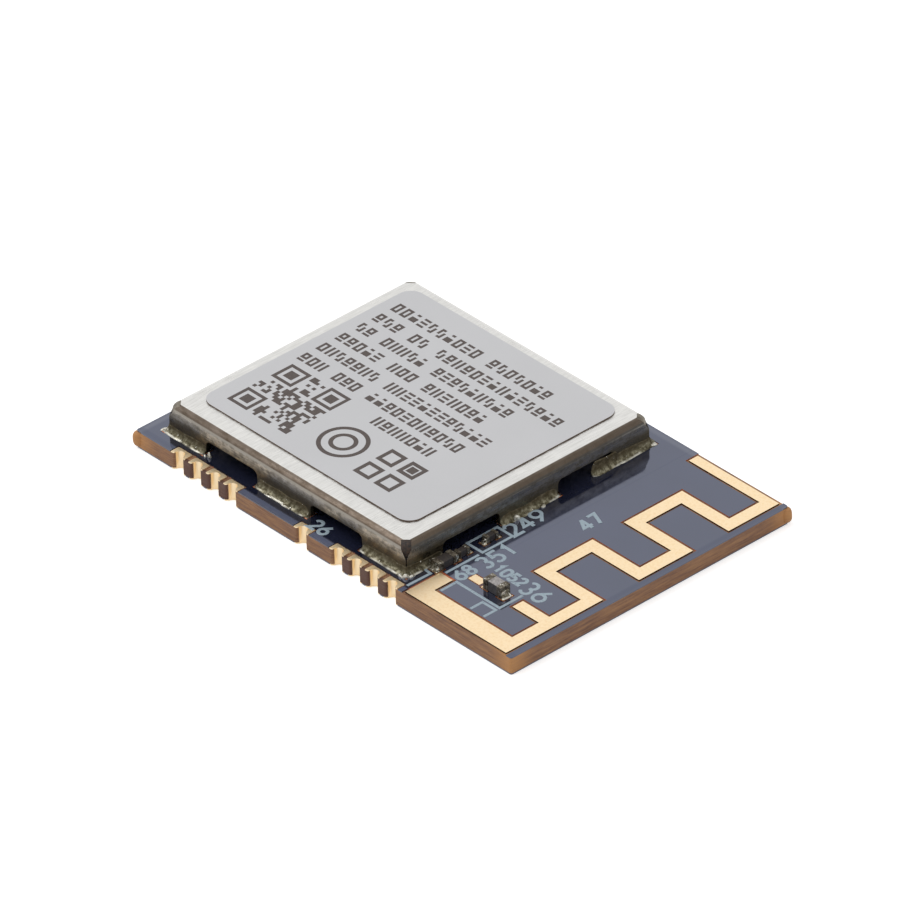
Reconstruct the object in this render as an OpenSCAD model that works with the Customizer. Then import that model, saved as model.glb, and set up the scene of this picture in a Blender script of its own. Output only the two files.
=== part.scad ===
// Castellated radio module: a small circuit board with a printed meander antenna, plated
// half-round terminals on three edges, and a folded shield can soldered over its chips.
// Millimetres. The origin is the centre of the board's underside, +X runs to the antenna
// end and +Z is up.

/* [Board] */
// Length of the board, along X
board_l = 21.72; // [21:0.01:24]
// Width of the board, along Y
board_w = 14.73; // [14.6:0.01:16]
// Thickness of the finished board, with its copper and solder mask
board_t = 0.8; // [0.6:0.05:1.6]
// Radius of the board's corners
board_corner_r = 0.1; // [0.05:0.05:0.6]
// Thickness of the solder mask on bare laminate, and of a copper land
mask_t = 0.05; // [0.03:0.01:0.08]
// Gap between a copper land and the edge of its mask opening
mask_gap = 0.05; // [0.03:0.01:0.07]
// Thickness of the copper that runs under the mask
foil_t = 0.02; // [0.01:0.005:0.025]
// Gap between the ground copper and other copper
foil_gap = 0.12; // [0.08:0.01:0.15]
// Bare strip between the ground copper and the board's edges
foil_margin = 0.3; // [0.2:0.05:0.4]
// Length of board beyond the ground copper, at the antenna end
clear_end_l = 5.41; // [5:0.01:5.5]

/* [Edge terminals] */
// Distance from the plain end of the board to the first terminal of a long side
term_inset = 2.48; // [2:0.01:2.6]
// Distance that the last terminal of a long side lies beyond the can
term_beyond = 0.03; // [-0.1:0.01:0.1]
// Number of terminals on the short end
end_terms = 10; // [4:1:10]
// Radius of a terminal's half-round notch
notch_r = 0.25; // [0.2:0.01:0.27]
// Radius that rounds the mouth of a notch
mouth_r = 0.1; // [0.06:0.01:0.12]
// Thickness of the gold-plated copper in a notch
plating_t = 0.035; // [0.02:0.005:0.05]
// Width of a terminal's pad on the top face
pad_w = 0.82; // [0.74:0.01:0.84]
// Copper that the top pad shows behind its notch
pad_ring = 0.07; // [0.05:0.01:0.12]
// Width of a terminal's pad on the underside
foot_w = 0.76; // [0.74:0.01:0.84]
// Depth of a terminal's pad on the underside
foot_d = 0.95; // [0.7:0.01:1.1]
// Radius of the inner corners of a pad
pad_corner_r = 0.08; // [0.02:0.01:0.12]

/* [Antenna] */
// Height of the antenna's plated copper above the mask
ant_proud = 0.01; // [0.005:0.005:0.02]
// Gap between the antenna and the edge of its mask opening
ant_gap = 0.1; // [0.05:0.01:0.12]
// Distance from the antenna to the end of the board
ant_margin = 0.38; // [0.3:0.01:0.5]
// Width of the meander's track
ant_w = 0.6; // [0.4:0.01:0.7]
// Overall width of the meander, along X
ant_reach = 3.27; // [2.8:0.01:3.4]
// Distance from the board's edge to the middle of the first riser
ant_first = 4.885; // [4.6:0.005:5]
// Riser spacing across a run that is near the shield
ant_step_in = 2.51; // [2.2:0.01:2.6]
// Riser spacing across a run that is near the end of the board
ant_step_out = 2.27; // [2:0.01:2.35]
// Width of the antenna's open tail
tail_w = 0.48; // [0.4:0.01:0.6]
// Length of the antenna's open tail
tail_l = 4.6; // [3.8:0.01:4.8]
// Distance from the tail to the board's edge
tail_margin = 0.145; // [0.1:0.005:0.2]
// Width of the grounded strip along the edge
strip_w = 0.87; // [0.6:0.01:0.95]
// Gap between the can and the antenna's grounded strip
strip_gap = 0.81; // [0.75:0.01:0.9]
// Distance from the grounded strip to the board's edge
strip_margin = 0.095; // [0.05:0.005:0.15]
// Width of the leg at the strip's grounded end
leg_w = 0.71; // [0.5:0.01:0.8]
// Overall length of the leg at the strip's grounded end
leg_l = 1.83; // [1.4:0.01:1.9]
// Width of the feed stub
feed_w = 0.55; // [0.4:0.01:0.6]
// Length of the feed stub, from the outer edge of the antenna
feed_l = 2.09; // [1.8:0.01:2.15]
// Distance from the board's edge to the middle of the feed
feed_in = 2.645; // [2.5:0.005:2.7]
// Width of the track that carries the signal to the antenna
track_w = 0.3; // [0.2:0.01:0.35]
// Distance from the antenna feed to that track, across the board
track_shift = 1.45; // [1.4:0.01:1.5]

/* [Shield can] */
// Length of board beyond the can, at the antenna end
antenna_zone_l = 6.91; // [6.8:0.01:7]
// Distance from the can to the board's long edges
shield_side = 0.895; // [0.85:0.005:1]
// Height of the can above the board
shield_h = 1.31; // [1.25:0.01:2]
// Thickness of the can's sheet metal
shield_t = 0.2; // [0.12:0.01:0.2]
// Outside radius of the can's bends
shield_bend_r = 0.3; // [0.26:0.01:0.34]
// Distance from the plain end of the board to the can
shield_inset = 0.95; // [0.9:0.01:1]
// Length of each opening along the foot of a wall
window_l = 3; // [2.4:0.05:3.2]
// Height of each opening
window_h = 0.6; // [0.4:0.01:0.65]
// Radius of the upper corners of an opening
window_r = 0.24; // [0.1:0.01:0.3]
// Distance between the two openings of a long wall
window_pitch_x = 6.1; // [5.8:0.05:6.4]
// Distance between the two openings of a short wall
window_pitch_y = 6.1; // [5.8:0.05:6.2]
// Shift of the long walls' openings towards the antenna
window_shift_x = -0.17; // [-0.3:0.01:0.3]
// Width of the seam between two walls at a corner
seam_w = 0.05; // [0.03:0.01:0.08]
// Width of the relief cut at the top of a corner seam
relief_w = 0.4; // [0.2:0.02:0.44]
// Height of the relief's straight part, down from the top
relief_h = 0.26; // [0.2:0.01:0.3]
// Height of the relief's tapered part
relief_taper_h = 0.36; // [0.2:0.01:0.4]
// Depth of the relief, along the corner's diagonal
relief_d = 0.5; // [0.3:0.01:0.55]
// Height of the solder fillets along the can's feet
solder_h = 0.34; // [0.2:0.01:0.4]
// Width of the solder fillets along the can's feet
solder_w = 0.2; // [0.12:0.01:0.22]
// Copper that shows inside the can's walls
shield_land_in = 0.1; // [0.05:0.01:0.15]

/* [Label] */
// Length of the label on the can
label_l = 12.2; // [10:0.05:12.5]
// Width of the label on the can
label_w = 11.3; // [9:0.05:11.5]
// Thickness of the label
label_t = 0.06; // [0.04:0.01:0.1]
// Radius of the label's corners
label_r = 0.65; // [0.3:0.05:1]
// Shift of the label from the can's middle, along X
label_shift_x = -0.16; // [-0.3:0.01:0.3]
// Shift of the label from the can's middle, along Y
label_shift_y = 0.24; // [-0.3:0.01:0.3]

/* [Chips] */
// Side of the radio chip
radio_side = 5; // [4:0.1:5.2]
// Height of the radio chip
radio_h = 0.75; // [0.6:0.01:0.85]
// Terminals on each side of the radio chip
radio_leads = 10; // [6:1:10]
// Distance between terminals of the radio chip
radio_lead_pitch = 0.4; // [0.38:0.01:0.42]
// Side of the radio chip's thermal pad
radio_pad = 3.4; // [2.4:0.1:3.5]
// Radio chip's place from the can's middle, along X
radio_x = -0.2; // [-0.3:0.05:0.1]
// Radio chip's place from the can's middle, along Y
radio_y = -0.6; // [-0.7:0.05:-0.4]
// Length of the memory chip
memory_l = 3; // [2.4:0.1:3.2]
// Width of the memory chip
memory_w = 2; // [1.8:0.1:2.2]
// Height of the memory chip
memory_h = 0.55; // [0.4:0.01:0.8]
// Distance between terminals of the memory chip
memory_lead_pitch = 0.5; // [0.45:0.01:0.6]
// Width of a chip terminal
lead_w = 0.22; // [0.15:0.01:0.24]
// Length of a chip terminal
lead_l = 0.4; // [0.3:0.01:0.45]
// Thickness of the chips' lead frames
lead_t = 0.2; // [0.12:0.01:0.22]
// Gap under a moulded chip body
chip_stand = 0.02; // [0.01:0.005:0.04]

// Distance from the can's outside to the middle of the parts beside its plain end
left_column = 1.95; // [1.9:0.05:2.2]
// Distance from the can's outside to the middle of the parts near the antenna
right_column = 2.3; // [2:0.05:2.4]
// Memory chip's place from the can's middle, along Y
memory_y = -3.1; // [-3.3:0.05:-2.9]

/* [Crystal and inductor] */
// Crystal's place from the can's middle, along Y
crystal_y = 3.9; // [3.7:0.05:4]
// Power inductor's place from the can's middle, along Y
coil_y = 0.6; // [0.4:0.05:0.8]
// Length of the crystal's ceramic case
crystal_l = 2.5; // [2:0.1:2.8]
// Width of the crystal's ceramic case
crystal_w = 2; // [1.6:0.1:2.2]
// Height of the crystal's ceramic case
crystal_h = 0.42; // [0.3:0.01:0.6]
// Thickness of the crystal's metal lid
crystal_lid_t = 0.14; // [0.08:0.01:0.2]
// Rim of ceramic round the crystal's lid
crystal_rim = 0.12; // [0.08:0.01:0.2]
// Length of the power inductor
coil_l = 2; // [1.6:0.1:2.2]
// Width of the power inductor
coil_w = 1.6; // [1.2:0.1:1.8]
// Height of the power inductor
coil_h = 0.9; // [0.6:0.01:1]
// Length of the antenna filter
filter_l = 1.6; // [1.4:0.1:1.8]
// Width of the antenna filter
filter_w = 0.8; // [0.6:0.05:0.9]
// Height of the antenna filter
filter_h = 0.6; // [0.4:0.01:0.7]

/* [Small chip parts] */
// Length of a small chip part
small_l = 1; // [0.9:0.01:1.05]
// Width of a small chip part
small_w = 0.5; // [0.4:0.01:0.5]
// Height of a small capacitor
small_cap_h = 0.5; // [0.4:0.01:0.6]
// Height of a small resistor
small_res_h = 0.35; // [0.25:0.01:0.4]
// Length of a tiny chip part
tiny_l = 0.6; // [0.55:0.01:0.64]
// Width of a tiny chip part
tiny_w = 0.3; // [0.25:0.01:0.34]
// Height of a tiny chip part
tiny_h = 0.3; // [0.2:0.01:0.33]
// Share of a chip part's length that each metal end covers
end_share = 0.24; // [0.18:0.01:0.3]
// Thickness of the metal on a chip part's end
end_t = 0.02; // [0.01:0.005:0.03]
// Copper that a land shows beyond a chip part's end
land_toe = 0.15; // [0.05:0.01:0.18]
// Distance from the radio chip to the middle of the capacitor rows beside it
cap_row_gap = 1.3; // [1.2:0.05:1.35]
// Distance from the upper capacitor row to the resistor row
res_row_gap = 1.55; // [1.5:0.05:1.6]
// Spacing of the small parts in a row
row_pitch = 1.2; // [1.15:0.01:1.3]
// Distance from the can to the middle of the tuning parts beside it
tuning_gap = 0.5; // [0.48:0.01:0.53]
// Distance from the signal track to the middle of a tuning capacitor
tuning_side = 0.75; // [0.65:0.01:0.8]
// Distance from the antenna feed to the middle of the tuning choke, across the board
choke_shift = 0.2; // [0.15:0.01:0.3]
// Height of the link, which is a small chip part
link_h = 0.5; // [0.35:0.01:0.6]
// Distance from the antenna feed's end to the middle of the link
link_gap = 1.19; // [1.1:0.01:1.25]
// Length of the spare land beside the link
spare_l = 0.63; // [0.5:0.01:0.66]
// Width of the spare land beside the link
spare_w = 0.39; // [0.3:0.01:0.5]
// Distance from the link's middle to the middle of the spare land
spare_gap = 1.105; // [1.08:0.005:1.15]

/* [Ground pad under the board] */
// Side of the ground pad
paddle_side = 4.4; // [3.6:0.1:5]
// Number of thermal vias along each side of the grid
via_count = 3; // [2:1:4]
// Distance between thermal vias
via_pitch = 1; // [0.8:0.05:1.05]
// Radius of a thermal via
via_r = 0.15; // [0.1:0.01:0.2]

/* [Hidden] */
$fn = 48;
over = 1;
lam_z0 = mask_t;
lam_z1 = board_t - mask_t;
pad_d = mouth_r + notch_r + pad_ring;
// Flats that make up a solder fillet's hollow face
fillet_faces = 6;

// Runs of neighbouring terminals on the front and back long sides, as first and last pitch
// numbers from the plain end
front_runs = [[0, 3], [7, 7], [9, 12]];
back_runs = [[0, 8]];
front_slots = slots_of(front_runs);
back_slots = slots_of(back_runs);
front_terms = len(front_slots);
term_total = front_terms + end_terms + len(back_slots);

// The can's size and place
shield_l = board_l - shield_inset - antenna_zone_l;
shield_w = board_w - 2 * shield_side;
shield_x = (shield_inset - antenna_zone_l) / 2;
shield_x1 = shield_x + shield_l / 2;
shield_z1 = board_t + shield_h;

// The terminals' places
term_x0 = -board_l / 2 + term_inset;
term_pitch = (shield_x1 + term_beyond - term_x0) / front_slots[front_terms - 1];

// The antenna's outline values
ant_x1 = board_l / 2 - ant_margin;
ant_x0 = ant_x1 - ant_reach;
strip_y0 = -board_w / 2 + strip_margin;
strip_x0 = shield_x1 + strip_gap;
tail_y1 = board_w / 2 - tail_margin;
feed_y = -board_w / 2 + feed_in;
link_x = ant_x1 - feed_l - link_gap;
spare_x = link_x - spare_gap;
track_y = feed_y + track_shift;

// Places of the parts, as [x, y, angle]
left_x = shield_x - shield_l / 2 + left_column;
right_x = shield_x1 - right_column;
tuning_x = shield_x1 + tuning_gap;
cap_row_y = radio_side / 2 + cap_row_gap;
radio_at = [shield_x + radio_x, radio_y, 0];
memory_at = [left_x, memory_y, 90];
crystal_at = [left_x, crystal_y, 0];
coil_at = [left_x, coil_y, 90];
filter_at = [right_x, track_y, 0];
link_at = [link_x, feed_y, 0];
choke_at = [tuning_x, feed_y - choke_shift, 90];
tuning_at = [for (side = [-1, 1]) [tuning_x, track_y + side * tuning_side, 90]];
cap_at = concat(
    [for (i = [-1 : 2], side = [-1, 1]) [shield_x + i * row_pitch, radio_y + side * cap_row_y, 90]],
    [for (i = [0 : 2]) [right_x, radio_y + i * row_pitch, 0]]
);
res_at = [for (i = [-1 : 3]) [shield_x + i * row_pitch, radio_y + cap_row_y + res_row_gap, 90]];

function pad2(n) = str(n < 10 ? "0" : "", n);
function term_name(n) = str("terminal_", pad2(n + 1));
function slots_of(runs) = [for (run = runs) for (slot = [run[0] : run[1]]) slot];
function slot_x(slot) = term_x0 + slot * term_pitch;
function end_y(i) = (i - (end_terms - 1) / 2) * term_pitch;
function riser_y(i) =
    -board_w / 2 + ant_first + floor((i + 1) / 2) * ant_step_in + floor(i / 2) * ant_step_out;

// ---- Flat outlines ----

module rounded_2d(l, w, r) {
    square([l - 2 * r, w], center = true);
    square([l, w - 2 * r], center = true);
    for (sx = [-1, 1], sy = [-1, 1])
        translate([sx * (l / 2 - r), sy * (w / 2 - r)]) circle(r);
}

// A rectangle between two corners, grown by g on every side
module bar_2d(x0, y0, x1, y1, g = 0) {
    translate([x0 - g, y0 - g]) square([x1 - x0 + 2 * g, y1 - y0 + 2 * g]);
}

// Puts its children at [x, y, angle]
module at(place) {
    translate([place[0], place[1], 0]) rotate(place[2]) children();
}

// Puts its children at terminal n: origin on the board's edge, +Y into the board
module at_terminal(n) {
    if (n < front_terms)
        translate([slot_x(front_slots[n]), -board_w / 2, 0]) children();
    else if (n < front_terms + end_terms)
        translate([-board_l / 2, end_y(n - front_terms), 0]) rotate(-90) children();
    else
        translate([slot_x(back_slots[n - front_terms - end_terms]), board_w / 2, 0])
            rotate(180) children();
}

// An edge notch: a half-round seat of radius r behind a mouth with rounded corners
module notch_2d(r) {
    translate([0, mouth_r]) circle(r);
    difference() {
        translate([-notch_r - mouth_r, -over]) square([2 * (notch_r + mouth_r), mouth_r + over]);
        for (side = [-1, 1])
            translate([side * (notch_r + mouth_r), mouth_r]) circle(mouth_r);
    }
}

module board_2d() {
    difference() {
        rounded_2d(board_l, board_w, board_corner_r);
        for (n = [0 : term_total - 1]) at_terminal(n) notch_2d(notch_r);
    }
}

// A terminal's pad, with round inner corners, from the board's edge inwards
module pad_2d(w, d, g = 0) {
    bar_2d(-w / 2, 0, w / 2, d - pad_corner_r, g);
    bar_2d(-w / 2 + pad_corner_r, 0, w / 2 - pad_corner_r, d, g);
    for (side = [-1, 1])
        translate([side * (w / 2 - pad_corner_r), d - pad_corner_r]) circle(pad_corner_r + g);
}

// Openings in the top mask: one for each run of neighbouring pads
module pad_openings_2d() {
    half = pad_w / 2 + mask_gap;
    depth = pad_d + mask_gap;
    for (run = front_runs)
        bar_2d(slot_x(run[0]) - half, -board_w / 2 - over, slot_x(run[1]) + half, -board_w / 2 + depth);
    for (run = back_runs)
        bar_2d(slot_x(run[0]) - half, board_w / 2 - depth, slot_x(run[1]) + half, board_w / 2 + over);
    bar_2d(-board_l / 2 - over, end_y(0) - half, -board_l / 2 + depth, end_y(end_terms - 1) + half);
}

// The antenna: a grounded strip with its leg, a meander, an open tail and a feed stub
module antenna_2d(g = 0) {
    half = ant_w / 2;
    bar_2d(strip_x0, strip_y0, ant_x1, strip_y0 + strip_w, g);
    bar_2d(strip_x0, strip_y0, strip_x0 + leg_w, strip_y0 + leg_l, g);
    bar_2d(ant_x1 - feed_l, feed_y - feed_w / 2, ant_x1, feed_y + feed_w / 2, g);
    for (i = [0 : 3])
        bar_2d(ant_x0, riser_y(i) - half, ant_x1, riser_y(i) + half, g);
    for (i = [0, 2])
        bar_2d(ant_x0, riser_y(i) - half, ant_x0 + ant_w, riser_y(i + 1) + half, g);
    bar_2d(ant_x1 - ant_w, strip_y0, ant_x1, riser_y(0) + half, g);
    bar_2d(ant_x1 - ant_w, riser_y(1) - half, ant_x1, riser_y(2) + half, g);
    bar_2d(ant_x1 - ant_w, riser_y(3) - half, ant_x1, tail_y1, g);
    bar_2d(ant_x1 - tail_l, tail_y1 - tail_w, ant_x1, tail_y1, g);
}

// The antenna's mask opening, which runs out over the board's edge along the strip and the tail
module antenna_opening_2d() {
    antenna_2d(ant_gap);
    bar_2d(strip_x0 - ant_gap, -board_w / 2 - over, ant_x1 + ant_gap, strip_y0);
    bar_2d(ant_x1 - tail_l - ant_gap, tail_y1, ant_x1 + ant_gap, board_w / 2 + over);
}

// The two lands of a chip part of length l and width w
module part_lands_2d(l, w, g = 0) {
    for (side = [0, 180])
        rotate(side) bar_2d(l / 2 - l * end_share, -w / 2, l / 2 + land_toe, w / 2, g);
}

module leads_2d(count, pitch, reach, g = 0) {
    for (i = [0 : count - 1], side = [0, 180])
        rotate(side) translate([(i - (count - 1) / 2) * pitch, reach - lead_l / 2])
            square([lead_w + 2 * g, lead_l + 2 * g], center = true);
}

module radio_leads_2d(g = 0) {
    for (turn = [0, 90]) rotate(turn) leads_2d(radio_leads, radio_lead_pitch, radio_side / 2, g);
    square(radio_pad + 2 * g, center = true);
}

module memory_leads_2d(g = 0) {
    leads_2d(4, memory_lead_pitch, memory_w / 2, g);
}

module spare_land_2d(g = 0) {
    translate([spare_x, feed_y]) square([spare_l + 2 * g, spare_w + 2 * g], center = true);
}

// Every land that a part inside or beside the can is soldered to
module component_lands_2d(g = 0) {
    at(radio_at) radio_leads_2d(g);
    at(memory_at) memory_leads_2d(g);
    at(crystal_at) part_lands_2d(crystal_l, crystal_w, g);
    at(coil_at) part_lands_2d(coil_l, coil_w, g);
    at(filter_at) part_lands_2d(filter_l, filter_w, g);
    at(link_at) part_lands_2d(small_l, small_w, g);
    at(choke_at) part_lands_2d(small_l, small_w, g);
    for (place = tuning_at) at(place) part_lands_2d(tiny_l, tiny_w, g);
    for (place = concat(cap_at, res_at)) at(place) part_lands_2d(small_l, small_w, g);
}

// The ring of lands under the can, without its openings
module shield_lands_2d(g = 0) {
    inset = shield_t + shield_land_in;
    translate([shield_x, 0]) difference() {
        square([shield_l + 2 * (solder_w + g), shield_w + 2 * (solder_w + g)], center = true);
        square([shield_l - 2 * (inset + g), shield_w - 2 * (inset + g)], center = true);
        for (side = [-1, 1]) {
            translate([side * window_pitch_x / 2 + window_shift_x, 0])
                square([window_l - 2 * g, 2 * shield_w], center = true);
            translate([0, side * window_pitch_y / 2])
                square([2 * shield_l, window_l - 2 * g], center = true);
        }
    }
}

// The signal track under the mask, from the antenna filter to the link
module signal_track_2d(g = 0) {
    filter_x = filter_at[0] + filter_l / 2;
    link_end = link_x - small_l / 2;
    bar_2d(filter_x, track_y - track_w / 2, link_end + track_w, track_y + track_w / 2, g);
    bar_2d(link_end, feed_y, link_end + track_w, track_y + track_w / 2, g);
}

module ground_copper_2d() {
    difference() {
        bar_2d(-board_l / 2 + foil_margin, -board_w / 2 + foil_margin,
               board_l / 2 - clear_end_l, board_w / 2 - foil_margin);
        for (n = [0 : term_total - 1]) at_terminal(n) pad_2d(pad_w, pad_d, foil_gap);
        component_lands_2d(foil_gap);
        signal_track_2d(foil_gap);
        shield_lands_2d();
        antenna_2d();
    }
}

// ---- Board ----

module via_grid() {
    span = (via_count - 1) / 2;
    at(radio_at)
        for (i = [-span : span], j = [-span : span])
            translate([i * via_pitch, j * via_pitch, 0]) children();
}

module board_laminate() {
    color("saddlebrown") difference() {
        translate([0, 0, lam_z0]) linear_extrude(lam_z1 - lam_z0) board_2d();
        via_grid() cylinder(h = board_t + over, r = via_r);
    }
}

module under_mask(shape_t) {
    translate([0, 0, lam_z1]) linear_extrude(shape_t) children();
}

module ground_copper() {
    color("peru") under_mask(foil_t) ground_copper_2d();
}

module signal_track() {
    color("peru") under_mask(foil_t) difference() {
        signal_track_2d();
        component_lands_2d();
    }
}

module solder_mask_top() {
    color("slategray") difference() {
        under_mask(mask_t) difference() {
            board_2d();
            pad_openings_2d();
            antenna_opening_2d();
            component_lands_2d(mask_gap);
            spare_land_2d(mask_gap);
            shield_lands_2d(mask_gap);
        }
        ground_copper();
        signal_track();
    }
}

module solder_mask_bottom() {
    color("slategray") linear_extrude(mask_t) difference() {
        board_2d();
        for (n = [0 : term_total - 1]) at_terminal(n) pad_2d(foot_w, foot_d, mask_gap);
        at(radio_at) square(paddle_side + 2 * mask_gap, center = true);
    }
}

module antenna() {
    color("khaki") under_mask(mask_t + ant_proud) antenna_2d();
}

// The ground pad under the board, with the vias that join it to the radio chip's land
module ground_pad() {
    color("gold") {
        linear_extrude(mask_t) at(radio_at) square(paddle_side, center = true);
        via_grid() cylinder(h = lam_z1, r = via_r);
    }
}

module component_lands() {
    color("gold") under_mask(mask_t) component_lands_2d();
}

module spare_land() {
    color("gold") under_mask(mask_t) spare_land_2d();
}

module shield_lands() {
    color("gold") under_mask(mask_t) shield_lands_2d();
}

// One edge terminal: a top pad, a half-round plated wall and a bottom pad, in one piece
module terminal(n) {
    color("gold") at_terminal(n) difference() {
        union() {
            under_mask(mask_t) pad_2d(pad_w, pad_d);
            linear_extrude(mask_t) pad_2d(foot_w, foot_d);
            linear_extrude(board_t) intersection() {
                translate([0, mouth_r]) circle(notch_r);
                bar_2d(-notch_r, mouth_r, notch_r, mouth_r + notch_r);
            }
        }
        translate([0, 0, -over]) linear_extrude(board_t + 2 * over) notch_2d(notch_r - plating_t);
    }
}

// ---- Shield can ----

// A bar of length l along X whose section is w wide, with its top edges rounded
module loaf(l, w, z0, z1, r) {
    rotate([90, 0, 90]) translate([0, 0, -l / 2]) linear_extrude(l) {
        bar_2d(-w / 2, z0, w / 2, z1 - r);
        bar_2d(-w / 2 + r, z0, w / 2 - r, z1);
        for (side = [-1, 1]) translate([side * (w / 2 - r), z1 - r]) circle(r);
    }
}

// A box with all four top edges rounded
module bent_box(l, w, z0, z1, r) {
    intersection() {
        loaf(l, w, z0, z1, r);
        rotate(90) loaf(w, l, z0, z1, r);
    }
}

// Two openings through both walls that cross the X axis
module window_pair(reach, pitch, shift) {
    for (side = [-1, 1])
        translate([0, side * pitch / 2 + shift, board_t])
            rotate([90, 0, 90]) translate([0, 0, -reach]) linear_extrude(2 * reach) {
                bar_2d(-window_l / 2, -over, window_l / 2, window_h - window_r);
                bar_2d(-window_l / 2 + window_r, -over, window_l / 2 - window_r, window_h);
                for (end = [-1, 1])
                    translate([end * (window_l / 2 - window_r), window_h - window_r])
                        circle(window_r);
            }
}

// The seam down a corner, opening into a relief at the top. It is cut along the diagonal.
module corner_seam() {
    relief_z = shield_z1 - relief_h;
    rotate([90, 0, -90]) translate([0, 0, -relief_d]) linear_extrude(2 * relief_d) {
        bar_2d(-seam_w / 2, board_t - over, seam_w / 2, relief_z);
        bar_2d(-relief_w / 2, relief_z, relief_w / 2, shield_z1 + over);
        polygon([
            [-relief_w / 2, relief_z],
            [-seam_w / 2, relief_z - relief_taper_h],
            [seam_w / 2, relief_z - relief_taper_h],
            [relief_w / 2, relief_z]
        ]);
    }
}

module shield_can() {
    color("silver") translate([shield_x, 0, 0]) difference() {
        bent_box(shield_l, shield_w, board_t, shield_z1, shield_bend_r);
        bent_box(shield_l - 2 * shield_t, shield_w - 2 * shield_t, board_t - over,
                 shield_z1 - shield_t, shield_bend_r - shield_t);
        window_pair(shield_l, window_pitch_y, 0);
        rotate(-90) window_pair(shield_w, window_pitch_x, window_shift_x);
        for (sx = [-1, 1], sy = [-1, 1])
            translate([sx * shield_l / 2, sy * shield_w / 2, 0]) rotate(sx * sy * 45) corner_seam();
    }
}

// A concave solder fillet's section: it stands on +X and leans on the +Z axis
module fillet_2d() {
    polygon(concat([[0, 0]], [
        for (i = [0 : fillet_faces])
            let (turn = i * 90 / fillet_faces)
            [solder_w * (1 - sin(turn)), solder_h * (1 - cos(turn))]
    ]));
}

// A fillet of length l along Y, against a wall that ends at X = 0
module fillet_bar(l) {
    rotate([90, 0, 0]) translate([0, 0, -l / 2]) linear_extrude(l) fillet_2d();
}

// The fillets along one wall: the can's half length or width is reach, the wall is span wide
module wall_fillets(reach, span, pitch, shift) {
    lo = -span / 2;
    hi = span / 2;
    gaps = [shift - pitch / 2, shift + pitch / 2];
    starts = [lo, gaps[0] + window_l / 2, gaps[1] + window_l / 2];
    ends = [gaps[0] - window_l / 2, gaps[1] - window_l / 2, hi];
    for (i = [0 : 2])
        translate([reach, (starts[i] + ends[i]) / 2, board_t]) fillet_bar(ends[i] - starts[i]);
}

module shield_solder() {
    color("gainsboro") translate([shield_x, 0, 0]) {
        wall_fillets(shield_l / 2, shield_w, window_pitch_y, 0);
        rotate(180) wall_fillets(shield_l / 2, shield_w, window_pitch_y, 0);
        rotate(90) wall_fillets(shield_w / 2, shield_l, window_pitch_x, -window_shift_x);
        rotate(-90) wall_fillets(shield_w / 2, shield_l, window_pitch_x, window_shift_x);
        for (sx = [-1, 1], sy = [-1, 1])
            translate([sx * shield_l / 2, sy * shield_w / 2, board_t])
                rotate(sx > 0 ? (sy > 0 ? 0 : -90) : (sy > 0 ? 90 : 180))
                    rotate_extrude(angle = 90) fillet_2d();
    }
}

module label() {
    color("whitesmoke") translate([shield_x + label_shift_x, label_shift_y, shield_z1])
        linear_extrude(label_t) rounded_2d(label_l, label_w, label_r);
}

// ---- Chips and chip parts ----

// Lifts its children to the board's top face, at [x, y, angle]
module on_board(place) {
    translate([0, 0, board_t]) at(place) children();
}

module moulded_body(l, w, h) {
    translate([-l / 2, -w / 2, chip_stand]) cube([l, w, h - chip_stand]);
}

module radio_leads_raw() {
    linear_extrude(lead_t) radio_leads_2d();
}

module memory_leads_raw() {
    linear_extrude(lead_t) memory_leads_2d();
}

module radio_chip_leads() {
    color("silver") on_board(radio_at) radio_leads_raw();
}

module radio_chip_body() {
    color("dimgray") on_board(radio_at) difference() {
        moulded_body(radio_side, radio_side, radio_h);
        radio_leads_raw();
    }
}

module memory_chip_leads() {
    color("silver") on_board(memory_at) memory_leads_raw();
}

module memory_chip_body() {
    color("dimgray") on_board(memory_at) difference() {
        moulded_body(memory_l, memory_w, memory_h);
        memory_leads_raw();
    }
}

module crystal_case() {
    color("tan") on_board(crystal_at)
        linear_extrude(crystal_h) rounded_2d(crystal_l, crystal_w, crystal_rim);
}

module crystal_lid() {
    color("silver") on_board(crystal_at) translate([0, 0, crystal_h]) linear_extrude(crystal_lid_t)
        rounded_2d(crystal_l - 2 * crystal_rim, crystal_w - 2 * crystal_rim, crystal_rim);
}

// The core of a chip part, which its two metal ends are dipped round
module chip_core(l, w, h) {
    translate([-l / 2 + end_t, -w / 2 + end_t, end_t]) cube([l - 2 * end_t, w - 2 * end_t, h - 2 * end_t]);
}

// The two metal ends of a chip part
module chip_ends(l, w, h) {
    difference() {
        for (side = [0, 180]) rotate(side)
            translate([l / 2 - l * end_share, -w / 2, 0]) cube([l * end_share, w, h]);
        chip_core(l, w, h);
    }
}

module power_inductor() {
    color("gray") on_board(coil_at) chip_core(coil_l, coil_w, coil_h);
}

module power_inductor_ends() {
    color("silver") on_board(coil_at) chip_ends(coil_l, coil_w, coil_h);
}

module antenna_filter() {
    color("lightblue") on_board(filter_at) chip_core(filter_l, filter_w, filter_h);
}

module antenna_filter_ends() {
    color("silver") on_board(filter_at) chip_ends(filter_l, filter_w, filter_h);
}

module inner_capacitors() {
    color("burlywood") for (place = cap_at) on_board(place) chip_core(small_l, small_w, small_cap_h);
}

module inner_capacitor_ends() {
    color("silver") for (place = cap_at) on_board(place) chip_ends(small_l, small_w, small_cap_h);
}

module inner_resistors() {
    color("black") for (place = res_at) on_board(place) chip_core(small_l, small_w, small_res_h);
}

module inner_resistor_ends() {
    color("silver") for (place = res_at) on_board(place) chip_ends(small_l, small_w, small_res_h);
}

module tuning_capacitors() {
    color("burlywood") for (place = tuning_at) on_board(place) chip_core(tiny_l, tiny_w, tiny_h);
}

module tuning_choke() {
    color("gray") on_board(choke_at) chip_core(small_l, small_w, small_res_h);
}

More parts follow.
